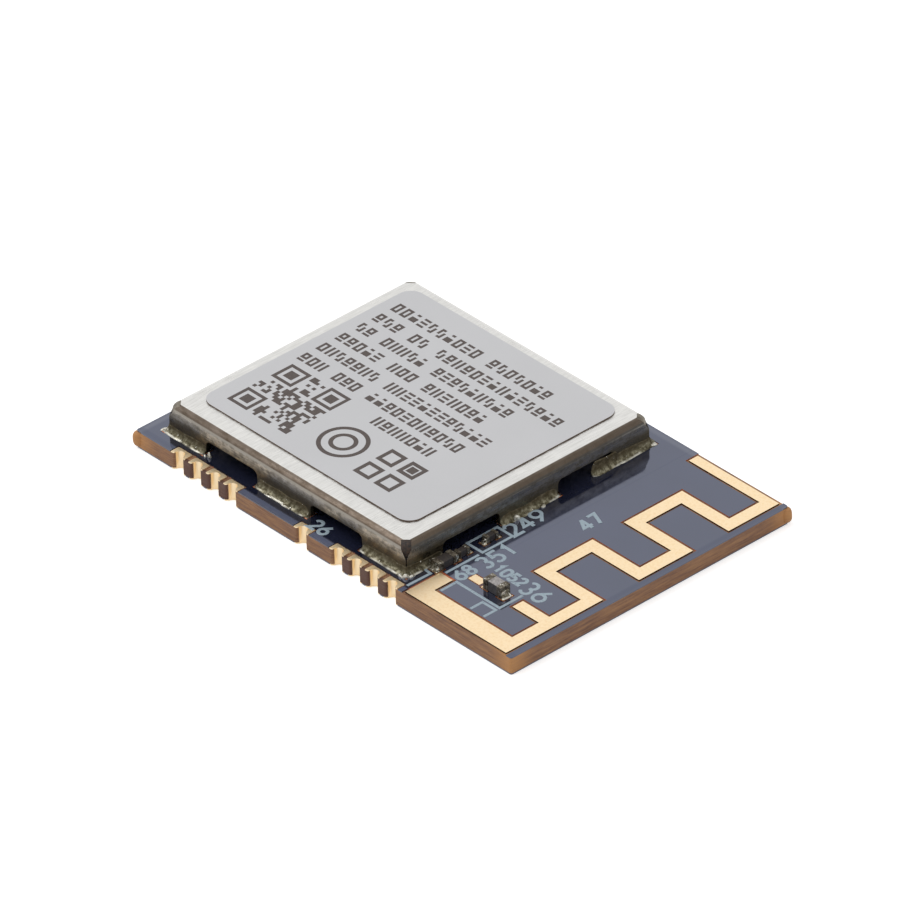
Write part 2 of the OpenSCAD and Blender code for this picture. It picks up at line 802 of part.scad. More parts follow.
module antenna_link() {
    color("silver") on_board(link_at) chip_core(small_l, small_w, link_h);
}

// The metal ends of the chip parts beside the can
module outer_part_ends() {
    color("silver") {
        for (place = tuning_at) on_board(place) chip_ends(tiny_l, tiny_w, tiny_h);
        on_board(choke_at) chip_ends(small_l, small_w, small_res_h);
        on_board(link_at) chip_ends(small_l, small_w, link_h);
    }
}

board_laminate();
solder_mask_top();
solder_mask_bottom();
ground_copper();
signal_track();
antenna();
ground_pad();
component_lands();
spare_land();
shield_lands();
shield_can();
shield_solder();
label();
radio_chip_leads();
radio_chip_body();
memory_chip_leads();
memory_chip_body();
crystal_case();
crystal_lid();
power_inductor();
power_inductor_ends();
antenna_filter();
antenna_filter_ends();
inner_capacitors();
inner_capacitor_ends();
inner_resistors();
inner_resistor_ends();
tuning_capacitors();
tuning_choke();
antenna_link();
outer_part_ends();
for (n = [0 : term_total - 1])
    terminal(n);
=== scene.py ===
"""Looks of a castellated radio module: a circuit board with a printed antenna, plated edge
terminals and a tinned shield can with a matte label. Lengths in the classes are millimetres."""

import logging
import math
from dataclasses import dataclass, field
from enum import Enum
from typing import Callable, Iterable, Protocol, Sequence

import bmesh
import bpy
import numpy as np
from mathutils import Euler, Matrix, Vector


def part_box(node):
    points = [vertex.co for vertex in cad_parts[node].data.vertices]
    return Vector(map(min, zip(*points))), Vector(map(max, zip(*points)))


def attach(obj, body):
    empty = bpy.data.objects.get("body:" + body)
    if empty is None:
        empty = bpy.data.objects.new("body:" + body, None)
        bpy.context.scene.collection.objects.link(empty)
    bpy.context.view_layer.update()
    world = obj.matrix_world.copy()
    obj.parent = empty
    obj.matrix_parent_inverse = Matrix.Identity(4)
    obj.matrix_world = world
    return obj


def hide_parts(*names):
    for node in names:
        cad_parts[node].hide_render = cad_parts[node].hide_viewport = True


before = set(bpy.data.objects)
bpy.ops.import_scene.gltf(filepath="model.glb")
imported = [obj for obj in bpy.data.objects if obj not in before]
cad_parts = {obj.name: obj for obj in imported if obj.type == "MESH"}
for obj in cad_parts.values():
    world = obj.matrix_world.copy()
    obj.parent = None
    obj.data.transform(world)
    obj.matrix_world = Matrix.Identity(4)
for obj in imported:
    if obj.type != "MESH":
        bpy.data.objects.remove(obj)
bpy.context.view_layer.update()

MM = 0.001
BODY = "root"
log = logging.getLogger("radio_module")

Colour = tuple[float, float, float]
Stops = tuple[tuple[float, Colour], ...]
Point2 = tuple[float, float]
Point3 = tuple[float, float, float]
Socket = bpy.types.NodeSocket

# Between these lie most of a noise pattern's values.
MOST: Point2 = (0.3, 0.7)
# Upward part of the normal, from an upright face to one that lies flat.
TURNS_UP: Point2 = (0.3, 0.7)
# The Mix node's sockets for colours: both that go in, and the one that comes out.
COLOUR_A, COLOUR_B, COLOUR_MIXED = 6, 7, 2


def srgb(red: int, green: int, blue: int) -> Colour:
    """Turns a colour written in display steps of 0 to 255 into linear light, by the curve of
    the common display standard: a short straight part, and a power of 2.4 above it.

    Args:
        red: Red step.
        green: Green step.
        blue: Blue step.

    Returns:
        The linear colour.
    """
    steps = np.array([red, green, blue]) / 255
    linear = np.where(steps <= 0.04045, steps / 12.92, ((steps + 0.055) / 1.055) ** 2.4)
    return tuple(float(value) for value in linear)


def turned(degrees: float) -> np.ndarray:
    """Gives the flat rotation by an angle: rows of cosine and minus sine, sine and cosine."""
    angle = math.radians(degrees)
    return np.array([[math.cos(angle), -math.sin(angle)], [math.sin(angle), math.cos(angle)]])


# ---- Boxes of the CAD nodes ----


@dataclass(frozen=True)
class Box:
    """The box of a CAD node, in millimetres."""

    low: np.ndarray
    high: np.ndarray

    @classmethod
    def of(cls, node: str) -> "Box":
        """Reads the box of one CAD node."""
        low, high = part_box(node)
        return cls(np.array(low) / MM, np.array(high) / MM)

    @property
    def middle(self) -> np.ndarray:
        """The box's centre."""
        return (self.low + self.high) / 2

    @property
    def half(self) -> np.ndarray:
        """Half of the box's size along each axis."""
        return (self.high - self.low) / 2


BOARD = Box.of("board_laminate")
COAT_TOP = float(Box.of("solder_mask_top").high[2])
BOARD_HALF: Point2 = (float(BOARD.half[0]), float(BOARD.half[1]))
CAN = Box.of("shield_can")
CAN_FOOT = float(CAN.low[2])


# ---- Materials ----


class Graph:
    """One node material, with short calls for the nodes that the finishes use."""

    def __init__(self, name: str) -> None:
        """Starts a material with a Principled shader and nothing else.

        Args:
            name: The material's name.
        """
        self.material = bpy.data.materials.new(name)
        self.material.use_nodes = True
        self.tree = self.material.node_tree
        self.tree.nodes.clear()
        output = self.tree.nodes.new("ShaderNodeOutputMaterial")
        self.shader = self.tree.nodes.new("ShaderNodeBsdfPrincipled")
        self.tree.links.new(self.shader.outputs["BSDF"], output.inputs["Surface"])

    def plug(self, socket: Socket, value: object) -> None:
        """Links a socket to another socket, or sets it to a number or colour.

        Args:
            socket: The input to fill.
            value: An output socket, a number, or a colour of three numbers.
        """
        if isinstance(value, Socket):
            self.tree.links.new(value, socket)
        elif isinstance(value, tuple) and socket.type == "RGBA":
            socket.default_value = (*value, 1)
        else:
            socket.default_value = value

    def surface(self, **inputs: object) -> None:
        """Fills the shader's inputs: an underscore in a name stands for a space."""
        for name, value in inputs.items():
            self.plug(self.shader.inputs[name.replace("_", " ")], value)

    def place(self, stretch: Point3 = (1, 1, 1)) -> Socket:
        """Gives the object's own coordinates in millimetres.

        Args:
            stretch: Factor on each axis, so that a pattern runs long where it is small.

        Returns:
            The vector socket.
        """
        coordinates = self.tree.nodes.new("ShaderNodeTexCoord")
        mapping = self.tree.nodes.new("ShaderNodeMapping")
        mapping.inputs["Scale"].default_value = [factor / MM for factor in stretch]
        self.tree.links.new(coordinates.outputs["Object"], mapping.inputs["Vector"])
        return mapping.outputs["Vector"]

    def parts(self, vector: Socket) -> tuple[Socket, ...]:
        """Splits a vector into its three numbers."""
        split = self.tree.nodes.new("ShaderNodeSeparateXYZ")
        self.tree.links.new(vector, split.inputs[0])
        return tuple(split.outputs)

    def normal(self) -> Socket:
        """Gives the surface's normal."""
        return self.tree.nodes.new("ShaderNodeNewGeometry").outputs["Normal"]

    def facing_up(self) -> Socket:
        """The upward part of the surface's normal: 1 on a top face, 0 on a wall."""
        return self.parts(self.normal())[2]

    def noise(self, vector: Socket, scale: float = 1.0, detail: float = 2,
              roughness: float = 0.5) -> Socket:
        """Adds a noise pattern.

        Args:
            vector: Where it is read.
            scale: Features for each millimetre.
            detail: Octaves.
            roughness: How strong the finer octaves are.

        Returns:
            The value socket.
        """
        node = self.tree.nodes.new("ShaderNodeTexNoise")
        self.tree.links.new(vector, node.inputs["Vector"])
        node.inputs["Scale"].default_value = scale
        node.inputs["Detail"].default_value = detail
        node.inputs["Roughness"].default_value = roughness
        return node.outputs["Fac"]

    def ramp(self, factor: Socket, stops: Stops) -> Socket:
        """Maps a value to a run of colours.

        Args:
            factor: The value, from 0 to 1.
            stops: Places and colours, in order.

        Returns:
            The colour socket.
        """
        node = self.tree.nodes.new("ShaderNodeValToRGB")
        self.tree.links.new(factor, node.inputs["Fac"])
        elements = node.color_ramp.elements
        while len(elements) < len(stops):
            elements.new(0.5)
        for element, (position, colour) in zip(elements, stops):
            element.position = position
            element.color = (*colour, 1)
        return node.outputs["Color"]

    def span(self, factor: Socket, low: float, high: float, start: float = 0,
             end: float = 1) -> Socket:
        """Carries a value from one span to another, smoothly and without passing its ends.

        Args:
            factor: The value.
            low: Where the first span starts.
            high: Where the first span ends.
            start: What low turns into.
            end: What high turns into.

        Returns:
            The value socket.
        """
        node = self.tree.nodes.new("ShaderNodeMapRange")
        node.interpolation_type = "SMOOTHSTEP"
        self.tree.links.new(factor, node.inputs["Value"])
        for name, value in (("From Min", low), ("From Max", high),
                            ("To Min", start), ("To Max", end)):
            node.inputs[name].default_value = value
        return node.outputs["Result"]

    def work(self, kind: str, first: object, second: object = 0.0) -> Socket:
        """Works out one operation on two values.

        Args:
            kind: The operation's name, such as MULTIPLY.
            first: A socket or number.
            second: A socket or number.

        Returns:
            The value socket.
        """
        node = self.tree.nodes.new("ShaderNodeMath")
        node.operation = kind
        self.plug(node.inputs[0], first)
        self.plug(node.inputs[1], second)
        return node.outputs[0]

    def plus(self, first: object, second: object) -> Socket:
        """Adds two values."""
        return self.work("ADD", first, second)

    def minus(self, first: object, second: object) -> Socket:
        """Takes the second value from the first."""
        return self.work("SUBTRACT", first, second)

    def times(self, first: object, second: object) -> Socket:
        """Multiplies two values."""
        return self.work("MULTIPLY", first, second)

    def ragged(self, value: Socket, pattern: Socket, strength: float) -> Socket:
        """Moves a value up and down by a pattern.

        Args:
            value: The value.
            pattern: The pattern, whose middle is 0.5.
            strength: How far the whole pattern moves it.

        Returns:
            The value socket.
        """
        return self.plus(value, self.times(self.minus(pattern, 0.5), strength))

    def blend(self, factor: object, first: object, second: object, kind: str = "MIX") -> Socket:
        """Mixes two colours.

        Args:
            factor: How much of the second, from 0 to 1.
            first: A socket or colour.
            second: A socket or colour.
            kind: The way of mixing.

        Returns:
            The colour socket.
        """
        node = self.tree.nodes.new("ShaderNodeMix")
        node.data_type = "RGBA"
        node.blend_type = kind
        self.plug(node.inputs["Factor"], factor)
        self.plug(node.inputs[COLOUR_A], first)
        self.plug(node.inputs[COLOUR_B], second)
        return node.outputs[COLOUR_MIXED]

    def relief(self, height: Socket, depth: float) -> None:
        """Makes the surface uneven.

        Args:
            height: The pattern, from 0 to 1.
            depth: What 1 stands for, in millimetres.
        """
        node = self.tree.nodes.new("ShaderNodeBump")
        node.inputs["Distance"].default_value = depth * MM
        previous = self.shader.inputs["Normal"]
        if previous.is_linked:
            self.tree.links.new(previous.links[0].from_socket, node.inputs["Normal"])
        self.tree.links.new(height, node.inputs["Height"])
        self.tree.links.new(node.outputs["Normal"], previous)


@dataclass(frozen=True)
class Finish:
    """A surface finish. A subclass paints its own node graph."""

    name: str

    def paint(self, graph: Graph) -> None:
        """Fills the graph's shader."""
        raise NotImplementedError

    def material(self) -> bpy.types.Material:
        """Gives the finish's material, which is made once."""
        full_name = f"{self.name}_finish"
        made = bpy.data.materials.get(full_name)
        if made is None:
            graph = Graph(full_name)
            self.paint(graph)
            made = graph.material
        return made


@dataclass(frozen=True)
class SolderMask(Finish):
    """Glossy blue coat on a board. It shows the step at the edge of the copper under it, rolls
    off towards the board's edges, and is amber where the antenna's opening cuts through it."""

    deep: Colour = srgb(26, 29, 44)
    light: Colour = srgb(33, 36, 54)
    cut_edge: Colour = srgb(196, 112, 66)
    tint: Colour = (0.5, 0.6, 1.0)
    half: Point2 = BOARD_HALF
    rough: Point2 = (0.07, 0.13)
    antenna_from: float = 4.7
    antenna_fade: float = 0.05
    copper_edge: float = 5.45
    copper_step: float = 0.004
    step_half: float = 0.03
    roll: float = 0.36
    roll_slope: float = 0.13
    rim: Point2 = (0.06, 0.03)

    def cut(self, graph: Graph, reaches: Sequence[Socket], x: Socket) -> Socket:
        """Finds the walls of the antenna's opening: upright faces at the antenna end that stand
        away from the board's own edges.

        Args:
            graph: The node graph.
            reaches: Distances from the board's middle along X and Y.
            x: Place along the board.

        Returns:
            1 on those walls and 0 elsewhere.
        """
        inside_x, inside_y = (
            graph.span(reach, half - self.rim[0], half - self.rim[1], 1, 0)
            for reach, half in zip(reaches, self.half))
        at_antenna = graph.span(x, self.antenna_from - self.antenna_fade, self.antenna_from)
        upright = graph.span(graph.facing_up(), *TURNS_UP, 1, 0)
        return graph.times(graph.times(graph.times(inside_x, inside_y), at_antenna), upright)

    def paint(self, graph: Graph) -> None:
        """Paints a deep coat with a soft orange peel and a step over the copper's edge."""
        place = graph.place()
        x, y, _ = graph.parts(place)
        reaches = [graph.work("ABSOLUTE", along) for along in (x, y)]
        coat = graph.ramp(graph.noise(place, scale=0.5, detail=3),
                          ((0.35, self.deep), (0.7, self.light)))
        graph.surface(
            Base_Color=graph.blend(self.cut(graph, reaches, x), coat, self.cut_edge),
            Roughness=graph.span(graph.noise(place, scale=2.5, detail=4), *MOST, *self.rough),
            IOR=1.9, Specular_Tint=self.tint,
            Coat_Weight=1.0, Coat_Roughness=0.04, Coat_IOR=1.45)
        graph.relief(graph.noise(place, scale=3.0), depth=0.0009)
        graph.relief(graph.noise(graph.place((14, 1.2, 1))), depth=0.0002)
        graph.relief(graph.span(x, self.copper_edge - self.step_half,
                                self.copper_edge + self.step_half, 1, 0), depth=self.copper_step)
        for reach, half in zip(reaches, self.half):
            graph.relief(graph.span(reach, half - self.roll, half, 1, 0),
                         depth=self.roll * self.roll_slope)


@dataclass(frozen=True)
class Laminate(Finish):
    """Glass-fibre board whose sawn edge shows its layers. It is warmer near its corners, where
    light gathers, and darker on the teeth between the front terminals."""

    dark: Colour = srgb(98, 64, 44)
    brown: Colour = srgb(134, 96, 68)
    pale: Colour = srgb(162, 122, 86)
    fibre: Colour = srgb(176, 134, 104)
    amber: Colour = srgb(196, 140, 82)
    tooth: Colour = srgb(88, 58, 46)
    rough: Point2 = (0.5, 0.72)
    fibre_ends: Point2 = (0.6, 0.72)
    fibre_share: float = 0.3
    corner: Point2 = BOARD_HALF
    warm_from: float = 0.05
    warm_to: float = 1.45
    warmth: float = 0.65
    front: Point2 = (-7.25, -7.2)
    teeth: tuple[tuple[Point2, Point2], ...] = (((-8.5, -8.3), (-5.2, -5.0)),
                                                ((0.9, 1.1), (3.9, 4.1)))

    def from_corner(self, graph: Graph, x: Socket, y: Socket) -> Socket:
        """Gives the flat distance to the nearest corner, as the root of the sum of squares.

        Args:
            graph: The node graph.
            x: Place along the board.
            y: Place across the board.

        Returns:
            The value socket.
        """
        squares = []
        for along, end in zip((x, y), self.corner):
            away = graph.minus(graph.work("ABSOLUTE", along), end)
            squares.append(graph.times(away, away))
        return graph.work("SQRT", graph.plus(*squares))

    def on_teeth(self, graph: Graph, x: Socket, y: Socket) -> Socket:
        """Finds the front edge along the runs of teeth.

        Args:
            graph: The node graph.
            x: Place along the board.
            y: Place across the board.

        Returns:
            1 on the teeth and 0 elsewhere.
        """
        at_front = graph.span(y, *self.front, 1, 0)
        found: object = 0.0
        for rise, fall in self.teeth:
            along = graph.plus(graph.span(x, *rise), graph.span(x, *fall, 0, -1))
            found = graph.plus(found, graph.times(at_front, along))
        return found

    def paint(self, graph: Graph) -> None:
        """Paints drawn-out layers, speckled fibre ends, warm corners and dark teeth."""
        layers = graph.noise(graph.place((0.8, 0.8, 11)), detail=4, roughness=0.6)
        fibres = graph.noise(graph.place((9, 9, 22)))
        x, y, _ = graph.parts(graph.place())
        colour = graph.ramp(layers, ((0.3, self.dark), (0.5, self.brown), (0.72, self.pale)))
        ends = graph.span(fibres, *self.fibre_ends, 0, self.fibre_share)
        colour = graph.blend(ends, colour, self.fibre)
        near = graph.span(self.from_corner(graph, x, y), self.warm_from, self.warm_to,
                          self.warmth, 0)
        colour = graph.blend(near, colour, self.amber)
        colour = graph.blend(self.on_teeth(graph, x, y), colour, self.tooth)
        graph.surface(Base_Color=colour, Roughness=graph.span(layers, *MOST, *self.rough))
        graph.relief(fibres, depth=0.006)
        graph.relief(layers, depth=0.006)


@dataclass(frozen=True)
class GoldPlate(Finish):
    """Gold over nickel with a fine matte grain. Its faces that don't face up take a side colour,
    which on the antenna is a near-black painted shade.
    """

    base: Colour = srgb(250, 226, 188)
    shade: Colour = srgb(244, 217, 174)
    side: Colour = srgb(232, 196, 146)
    rough: Point2 = (0.42, 0.3)
    side_faces: Point2 = (0.3, 0.8)
    streaks: float = 0.0

    def paint(self, graph: Graph) -> None:
        """Paints the plated grain, and the streaks that a drill leaves in a barrel."""
        grain = graph.noise(graph.place(), scale=9.0, detail=3, roughness=0.6)
        colour = graph.ramp(grain, ((0.35, self.shade), (0.55, self.base)))
        up = graph.span(graph.facing_up(), *self.side_faces)
        graph.surface(Base_Color=graph.blend(up, self.side, colour), Metallic=1.0,
                      Roughness=graph.span(grain, *MOST, *self.rough))
        graph.relief(grain, depth=0.0011)
        if self.streaks:
            graph.relief(graph.noise(graph.place((16, 16, 0.8))), depth=self.streaks)


@dataclass(frozen=True)
class PlainMetal(Finish):
    """A plain metal with a little unevenness."""

    base: Colour = srgb(205, 203, 196)
    shade: Colour = srgb(150, 146, 136)
    roughness: float = 0.3
    dulled: float = 0.12
    depth: float = 0.002

    def paint(self, graph: Graph) -> None:
        """Paints the metal with clouded brightness."""
        grain = graph.noise(graph.place(), scale=5.0, detail=3, roughness=0.6)
        graph.surface(
            Base_Color=graph.ramp(grain, ((0.3, self.shade), (0.6, self.base))), Metallic=1.0,
            Roughness=graph.span(grain, *MOST, self.roughness + self.dulled, self.roughness))
        graph.relief(grain, self.depth)


@dataclass(frozen=True)
class TinnedSheet(Finish):
    """Rolled, tin-plated sheet: pale on its top, with painted shade in browns on its rims and
    bends, and walls darker towards the solder with random blots, partly oxide staining and partly
    painted reflection. Faces towards +X take their own painted reflection colours, and the rims and
    bends on the sides towards -X and +Y stay pale."""

    foot: float = CAN_FOOT
    bend_from: float = 1.81
    pale: Colour = srgb(226, 225, 222)
    grey: Colour = srgb(204, 203, 200)
    # The browns and the rim colour are painted shade on the bends and rims; the end colours are
    # painted reflection on faces towards +X.
    brown: Colour = srgb(114, 103, 93)
    deep_brown: Colour = srgb(82, 70, 58)
    rim: Colour = srgb(152, 146, 137)
    end_brown: Colour = srgb(94, 86, 78)
    end_rim: Colour = srgb(78, 75, 71)
    blotched: Colour = srgb(64, 58, 46)
    streak_push: float = 0.55
    cloud_push: float = 0.35
    end_faces: Point2 = (0.15, 0.5)
    painted_shade_faces: Point2 = (-0.12, -0.04)
    rim_faces: Point2 = (0.12, 0.3)
    bend_faces: Point2 = (0.45, 0.62)
    top_faces: Point2 = (0.955, 0.992)
    blots: Point2 = (0.42, 0.62)
    blot_share: float = 0.5
    blot_dulling: float = 0.2
    rough: Point2 = (0.36, 0.24)
    # Wall colours by height, darker towards the solder: partly oxide staining, partly painted
    # reflection of a darker floor.
    wall: Stops = (
        (0.0, srgb(100, 95, 80)), (0.3, srgb(100, 92, 75)), (0.46, srgb(92, 82, 66)),
        (0.6, srgb(92, 85, 75)), (0.76, srgb(124, 119, 112)), (0.94, srgb(164, 158, 150)))
    end_wall: Stops = (
        (0.0, srgb(112, 108, 92)), (0.34, srgb(112, 104, 84)), (0.5, srgb(116, 108, 90)),
        (0.64, srgb(122, 116, 104)), (0.78, srgb(152, 149, 143)), (0.96, srgb(138, 136, 132)))

    def paint(self, graph: Graph) -> None:
        """Paints a rolled grain on the top, streaks along the walls and blots over both, with
        painted reflection and shade on the walls, rims and bends.
        """
        place = graph.place()
        grain = graph.noise(graph.place((30, 1.3, 4)), detail=4, roughness=0.65)
        cloud = graph.noise(place, scale=1.3, detail=4, roughness=0.6)
        streak = graph.noise(graph.place((0.55, 0.55, 11)), detail=4, roughness=0.62)
        smear = graph.noise(graph.place((1.6, 1.6, 5)), detail=4, roughness=0.6)
        blot = graph.noise(graph.place((3.2, 3.2, 4)), detail=5, roughness=0.68)
        outward = graph.parts(graph.normal())
        # Faces towards +X take their own painted reflection colours. Only faces towards +X and -Y
        # get painted shade on their rims and bends.
        end = graph.span(outward[0], *self.end_faces)
        painted_shade_sides = graph.span(graph.minus(outward[0], outward[1]), *self.painted_shade_faces)

        height = graph.work("DIVIDE", graph.minus(graph.parts(place)[2], self.foot),
                            self.bend_from - self.foot)
        height = graph.ragged(height, streak, self.streak_push)
        height = graph.ragged(height, cloud, self.cloud_push)
        # Walls darker towards the solder: partly oxide staining, partly painted reflection.
        wall = graph.blend(end, graph.ramp(height, self.wall), graph.ramp(height, self.end_wall))
        blots = graph.span(blot, *self.blots, 0, self.blot_share)
        wall = graph.blend(blots, wall, self.blotched)
        # Rims and bends in browns are painted shade, left pale on the sides towards -X and +Y.
        rim = graph.blend(painted_shade_sides, self.pale, graph.blend(end, self.rim, self.end_rim))
        bend = graph.blend(end, graph.ramp(smear, ((0.3, self.deep_brown), (0.62, self.brown))),
                           graph.blend(blot, self.end_brown, self.deep_brown))
        bend = graph.blend(painted_shade_sides, self.pale, bend)
        top = graph.ramp(grain, ((0.3, self.grey), (0.62, self.pale)))

        colour = wall
        for faces, above in ((self.rim_faces, rim), (self.bend_faces, bend),
                             (self.top_faces, top)):
            colour = graph.blend(graph.span(outward[2], *faces), colour, above)
        graph.surface(
            Base_Color=colour, Metallic=1.0,
            Roughness=graph.plus(graph.span(streak, *MOST, *self.rough),
                                 graph.span(blot, 0.4, 0.65, 0, self.blot_dulling)))
        graph.relief(grain, depth=0.0012)
        graph.relief(blot, depth=0.004)


@dataclass(frozen=True)
class Solder(Finish):
    """Reflowed solder: dull olive metal with a pale rim at its foot and a few bright specks, both
    painted highlights.
    """

    foot: float = CAN_FOOT
    dull: Colour = srgb(92, 87, 69)
    light: Colour = srgb(138, 133, 114)
    # The colour of the painted highlights: the specks and the rim at the foot.
    bright: Colour = srgb(222, 220, 210)
    stain: Colour = srgb(58, 51, 36)
    crest: Colour = srgb(66, 57, 41)
    fade: Point2 = (0.1, 0.26)
    fading: float = 0.75
    fade_push: float = 0.35
    specks: Point2 = (0.69, 0.75)
    shine: float = 0.0
    patches: Point2 = (0.42, 0.6)
    rim: Point2 = (0.01, 0.05)
    rim_share: float = 0.6
    rough: Point2 = (0.55, 0.36)
    bright_polish: float = 0.2

    def paint(self, graph: Graph) -> None:
        """Paints dull metal with darker stains in places, and specks and a pale rim as painted
        highlights.
        """
        place = graph.place()
        grain = graph.noise(place, scale=5.5, detail=5, roughness=0.72)
        low = graph.minus(graph.parts(place)[2], self.foot)
        # Specks and the pale rim at the foot are painted highlights.
        specks = graph.span(graph.noise(place, scale=8.0), *(at - self.shine for at in self.specks))
        rim = graph.times(graph.span(low, *self.rim, self.rim_share, 0),
                          graph.span(graph.noise(place, scale=1.4), *self.patches))
        bright = graph.work("MAXIMUM", specks, rim)
        colour = graph.ramp(grain, ((0.36, self.stain), (0.5, self.dull), (0.62, self.light)))
        above = graph.span(graph.ragged(low, grain, self.fade_push), *self.fade, 0, self.fading)
        colour = graph.blend(above, colour, self.crest)
        graph.surface(Base_Color=graph.blend(bright, colour, self.bright), Metallic=0.9,
                      Roughness=graph.minus(graph.span(grain, 0.35, 0.68, *self.rough),
                                            graph.times(bright, self.bright_polish)))
        graph.relief(grain, depth=0.011)


@dataclass(frozen=True)
class LabelFilm(Finish):
    """Matte grey film whose cut edge is painted dark brown: painted shade along its edge."""

    face: Colour = srgb(197, 197, 199)
    shade: Colour = srgb(191, 191, 193)
    edge: Colour = srgb(80, 62, 48)
    clouding: float = 0.35
    rough: Point2 = (0.5, 0.62)

    def paint(self, graph: Graph) -> None:
        """Paints the film's fine tooth, and painted shade on its cut edge."""
        place = graph.place()
        tooth = graph.noise(place, scale=18.0)
        cloud = graph.span(graph.noise(place, scale=0.35), *MOST, 0, self.clouding)
        face = graph.blend(cloud, self.face, self.shade)
        # Faces that don't face up take the dark brown edge colour: painted shade along the cut
        # edge.
        colour = graph.blend(graph.span(graph.facing_up(), *TURNS_UP), self.edge, face)
        graph.surface(Base_Color=colour, Roughness=graph.span(tooth, *MOST, *self.rough))
        graph.relief(tooth, depth=0.0012)


@dataclass(frozen=True)
class Ink(Finish):
    """Printed ink whose coverage is a little uneven."""

    base: Colour = srgb(74, 64, 60)
    thin: Colour = srgb(98, 88, 84)
    rough: Point2 = (0.5, 0.65)

    def paint(self, graph: Graph) -> None:
        """Paints full ink with thinner specks."""
        cover = graph.noise(graph.place(), scale=11.0, detail=3)
        graph.surface(Base_Color=graph.ramp(cover, ((0.55, self.base), (0.75, self.thin))),
                      Roughness=graph.span(cover, *MOST, *self.rough))
        graph.relief(cover, depth=0.001)


@dataclass(frozen=True)
class Body(Finish):
    """Moulding compound, fired ceramic or dried flux, with a fine grain."""

    base: Colour = srgb(60, 60, 60)
    shade: Colour = srgb(40, 40, 40)
    roughness: float = 0.5
    uneven: float = 0.08
    depth: float = 0.003
    sides: float = 1.0
    side_faces: Point2 = (0.3, 0.9)

    def paint(self, graph: Graph) -> None:
        """Paints a clouded body with a grain that catches the light. Its sides may be darker, as
        painted shade.
        """
        grain = graph.noise(graph.place(), scale=12.0, detail=3)
        colour = graph.ramp(grain, ((0.35, self.shade), (0.62, self.base)))
        # Sides take the colour times a factor: painted shade where the factor is below 1.
        painted_side_shade = graph.blend(1.0, colour, (self.sides,) * 3, "MULTIPLY")
        graph.surface(
            Base_Color=graph.blend(graph.span(graph.facing_up(), *self.side_faces), painted_side_shade,
                                   colour),
            Roughness=graph.span(grain, *MOST, self.roughness + self.uneven,
                                 self.roughness - self.uneven))
        graph.relief(grain, self.depth)


@dataclass(frozen=True)
class PaleFloor(Finish):
    """A floor that the eye sees as white and shiny metal as pale, and that keeps a shadow."""

    low: Colour = (0.8, 0.8, 0.8)
    high: Colour = (0.83, 0.83, 0.83)
    glow: float = 0.5
    glossy_share: float = 0.4

    def paint(self, graph: Graph) -> None:
        """Paints a dull floor that glows for the camera and, less, for reflections."""
        tooth = graph.noise(graph.place(), scale=0.02)
        graph.surface(Base_Color=graph.ramp(tooth, ((0.3, self.low), (0.7, self.high))),
                      Roughness=0.9, Specular_IOR_Level=0.1, Emission_Color=(1.0, 1.0, 1.0))
        rays = graph.tree.nodes.new("ShaderNodeLightPath").outputs
        seen = graph.plus(rays["Is Camera Ray"],
                          graph.times(rays["Is Glossy Ray"], self.glossy_share))
        graph.surface(Emission_Strength=graph.times(seen, self.glow))


MASK = SolderMask("blue_solder_mask")
LAMINATE = Laminate("brown_laminate")
GOLD = GoldPlate("gold_plate")
BARREL_GOLD = GoldPlate("gold_in_barrels", srgb(252, 232, 196), srgb(240, 214, 170),
                        side=srgb(250, 228, 190), streaks=0.003)
# The antenna's side faces are near black: painted shade along the trace's edges.
ANTENNA_GOLD = GoldPlate("antenna_gold", side=srgb(42, 30, 26))
COPPER = PlainMetal("etched_copper", srgb(214, 140, 104), srgb(176, 104, 74), roughness=0.4)
TIN = TinnedSheet("tinned_sheet")
SOLDER = Solder("reflowed_solder")
NO_FADE: Point2 = (5.0, 6.0)
# The ends and beads below raise shine for more painted glints among their specks.
OUTER_ENDS = Solder("tinned_outer_ends", dull=srgb(96, 88, 76), light=srgb(150, 144, 130),
                    stain=srgb(50, 42, 34), fade=NO_FADE, shine=0.06)
BEAD_METAL = Solder("bright_solder", dull=srgb(190, 187, 176), light=srgb(226, 224, 216),
                    stain=srgb(120, 112, 92), fade=NO_FADE, shine=0.1)
END_METAL = Solder("end_solder", dull=srgb(120, 114, 98), light=srgb(206, 202, 190),
                   stain=srgb(62, 54, 40), fade=NO_FADE, shine=0.12)
SEAM_METAL = PlainMetal("seam_solder", srgb(138, 131, 120), srgb(86, 79, 69),
                        roughness=0.4, depth=0.006)
LABEL_FILM = LabelFilm("label_film")
LABEL_INK = Ink("label_ink")
LEGEND_INK = Ink("legend_ink", srgb(152, 168, 178), srgb(118, 134, 146))
LEAD_METAL = PlainMetal("lead_metal")
LID_METAL = PlainMetal("crystal_lid_metal", srgb(226, 222, 208), srgb(196, 190, 176))
LAND_TIN = PlainMetal("tinned_lands", srgb(228, 226, 218), srgb(150, 146, 130), roughness=0.28)
CHIP_ENDS = PlainMetal("tinned_chip_ends", srgb(214, 208, 190), srgb(120, 110, 88),
                       roughness=0.25)
# Near-black brown for the front seam's leaf: partly flux, partly painted shade of the slit.
FLUX_AND_PAINTED_SHADE = Body("dried_flux_and_painted_shade", srgb(48, 28, 12), srgb(10, 6, 3), roughness=0.6, depth=0.01)
MOULDING = Body("chip_moulding", srgb(46, 46, 48), srgb(32, 32, 34), roughness=0.55)
TAN_CERAMIC = Body("tan_ceramic", srgb(150, 118, 88), srgb(120, 92, 66), roughness=0.4)
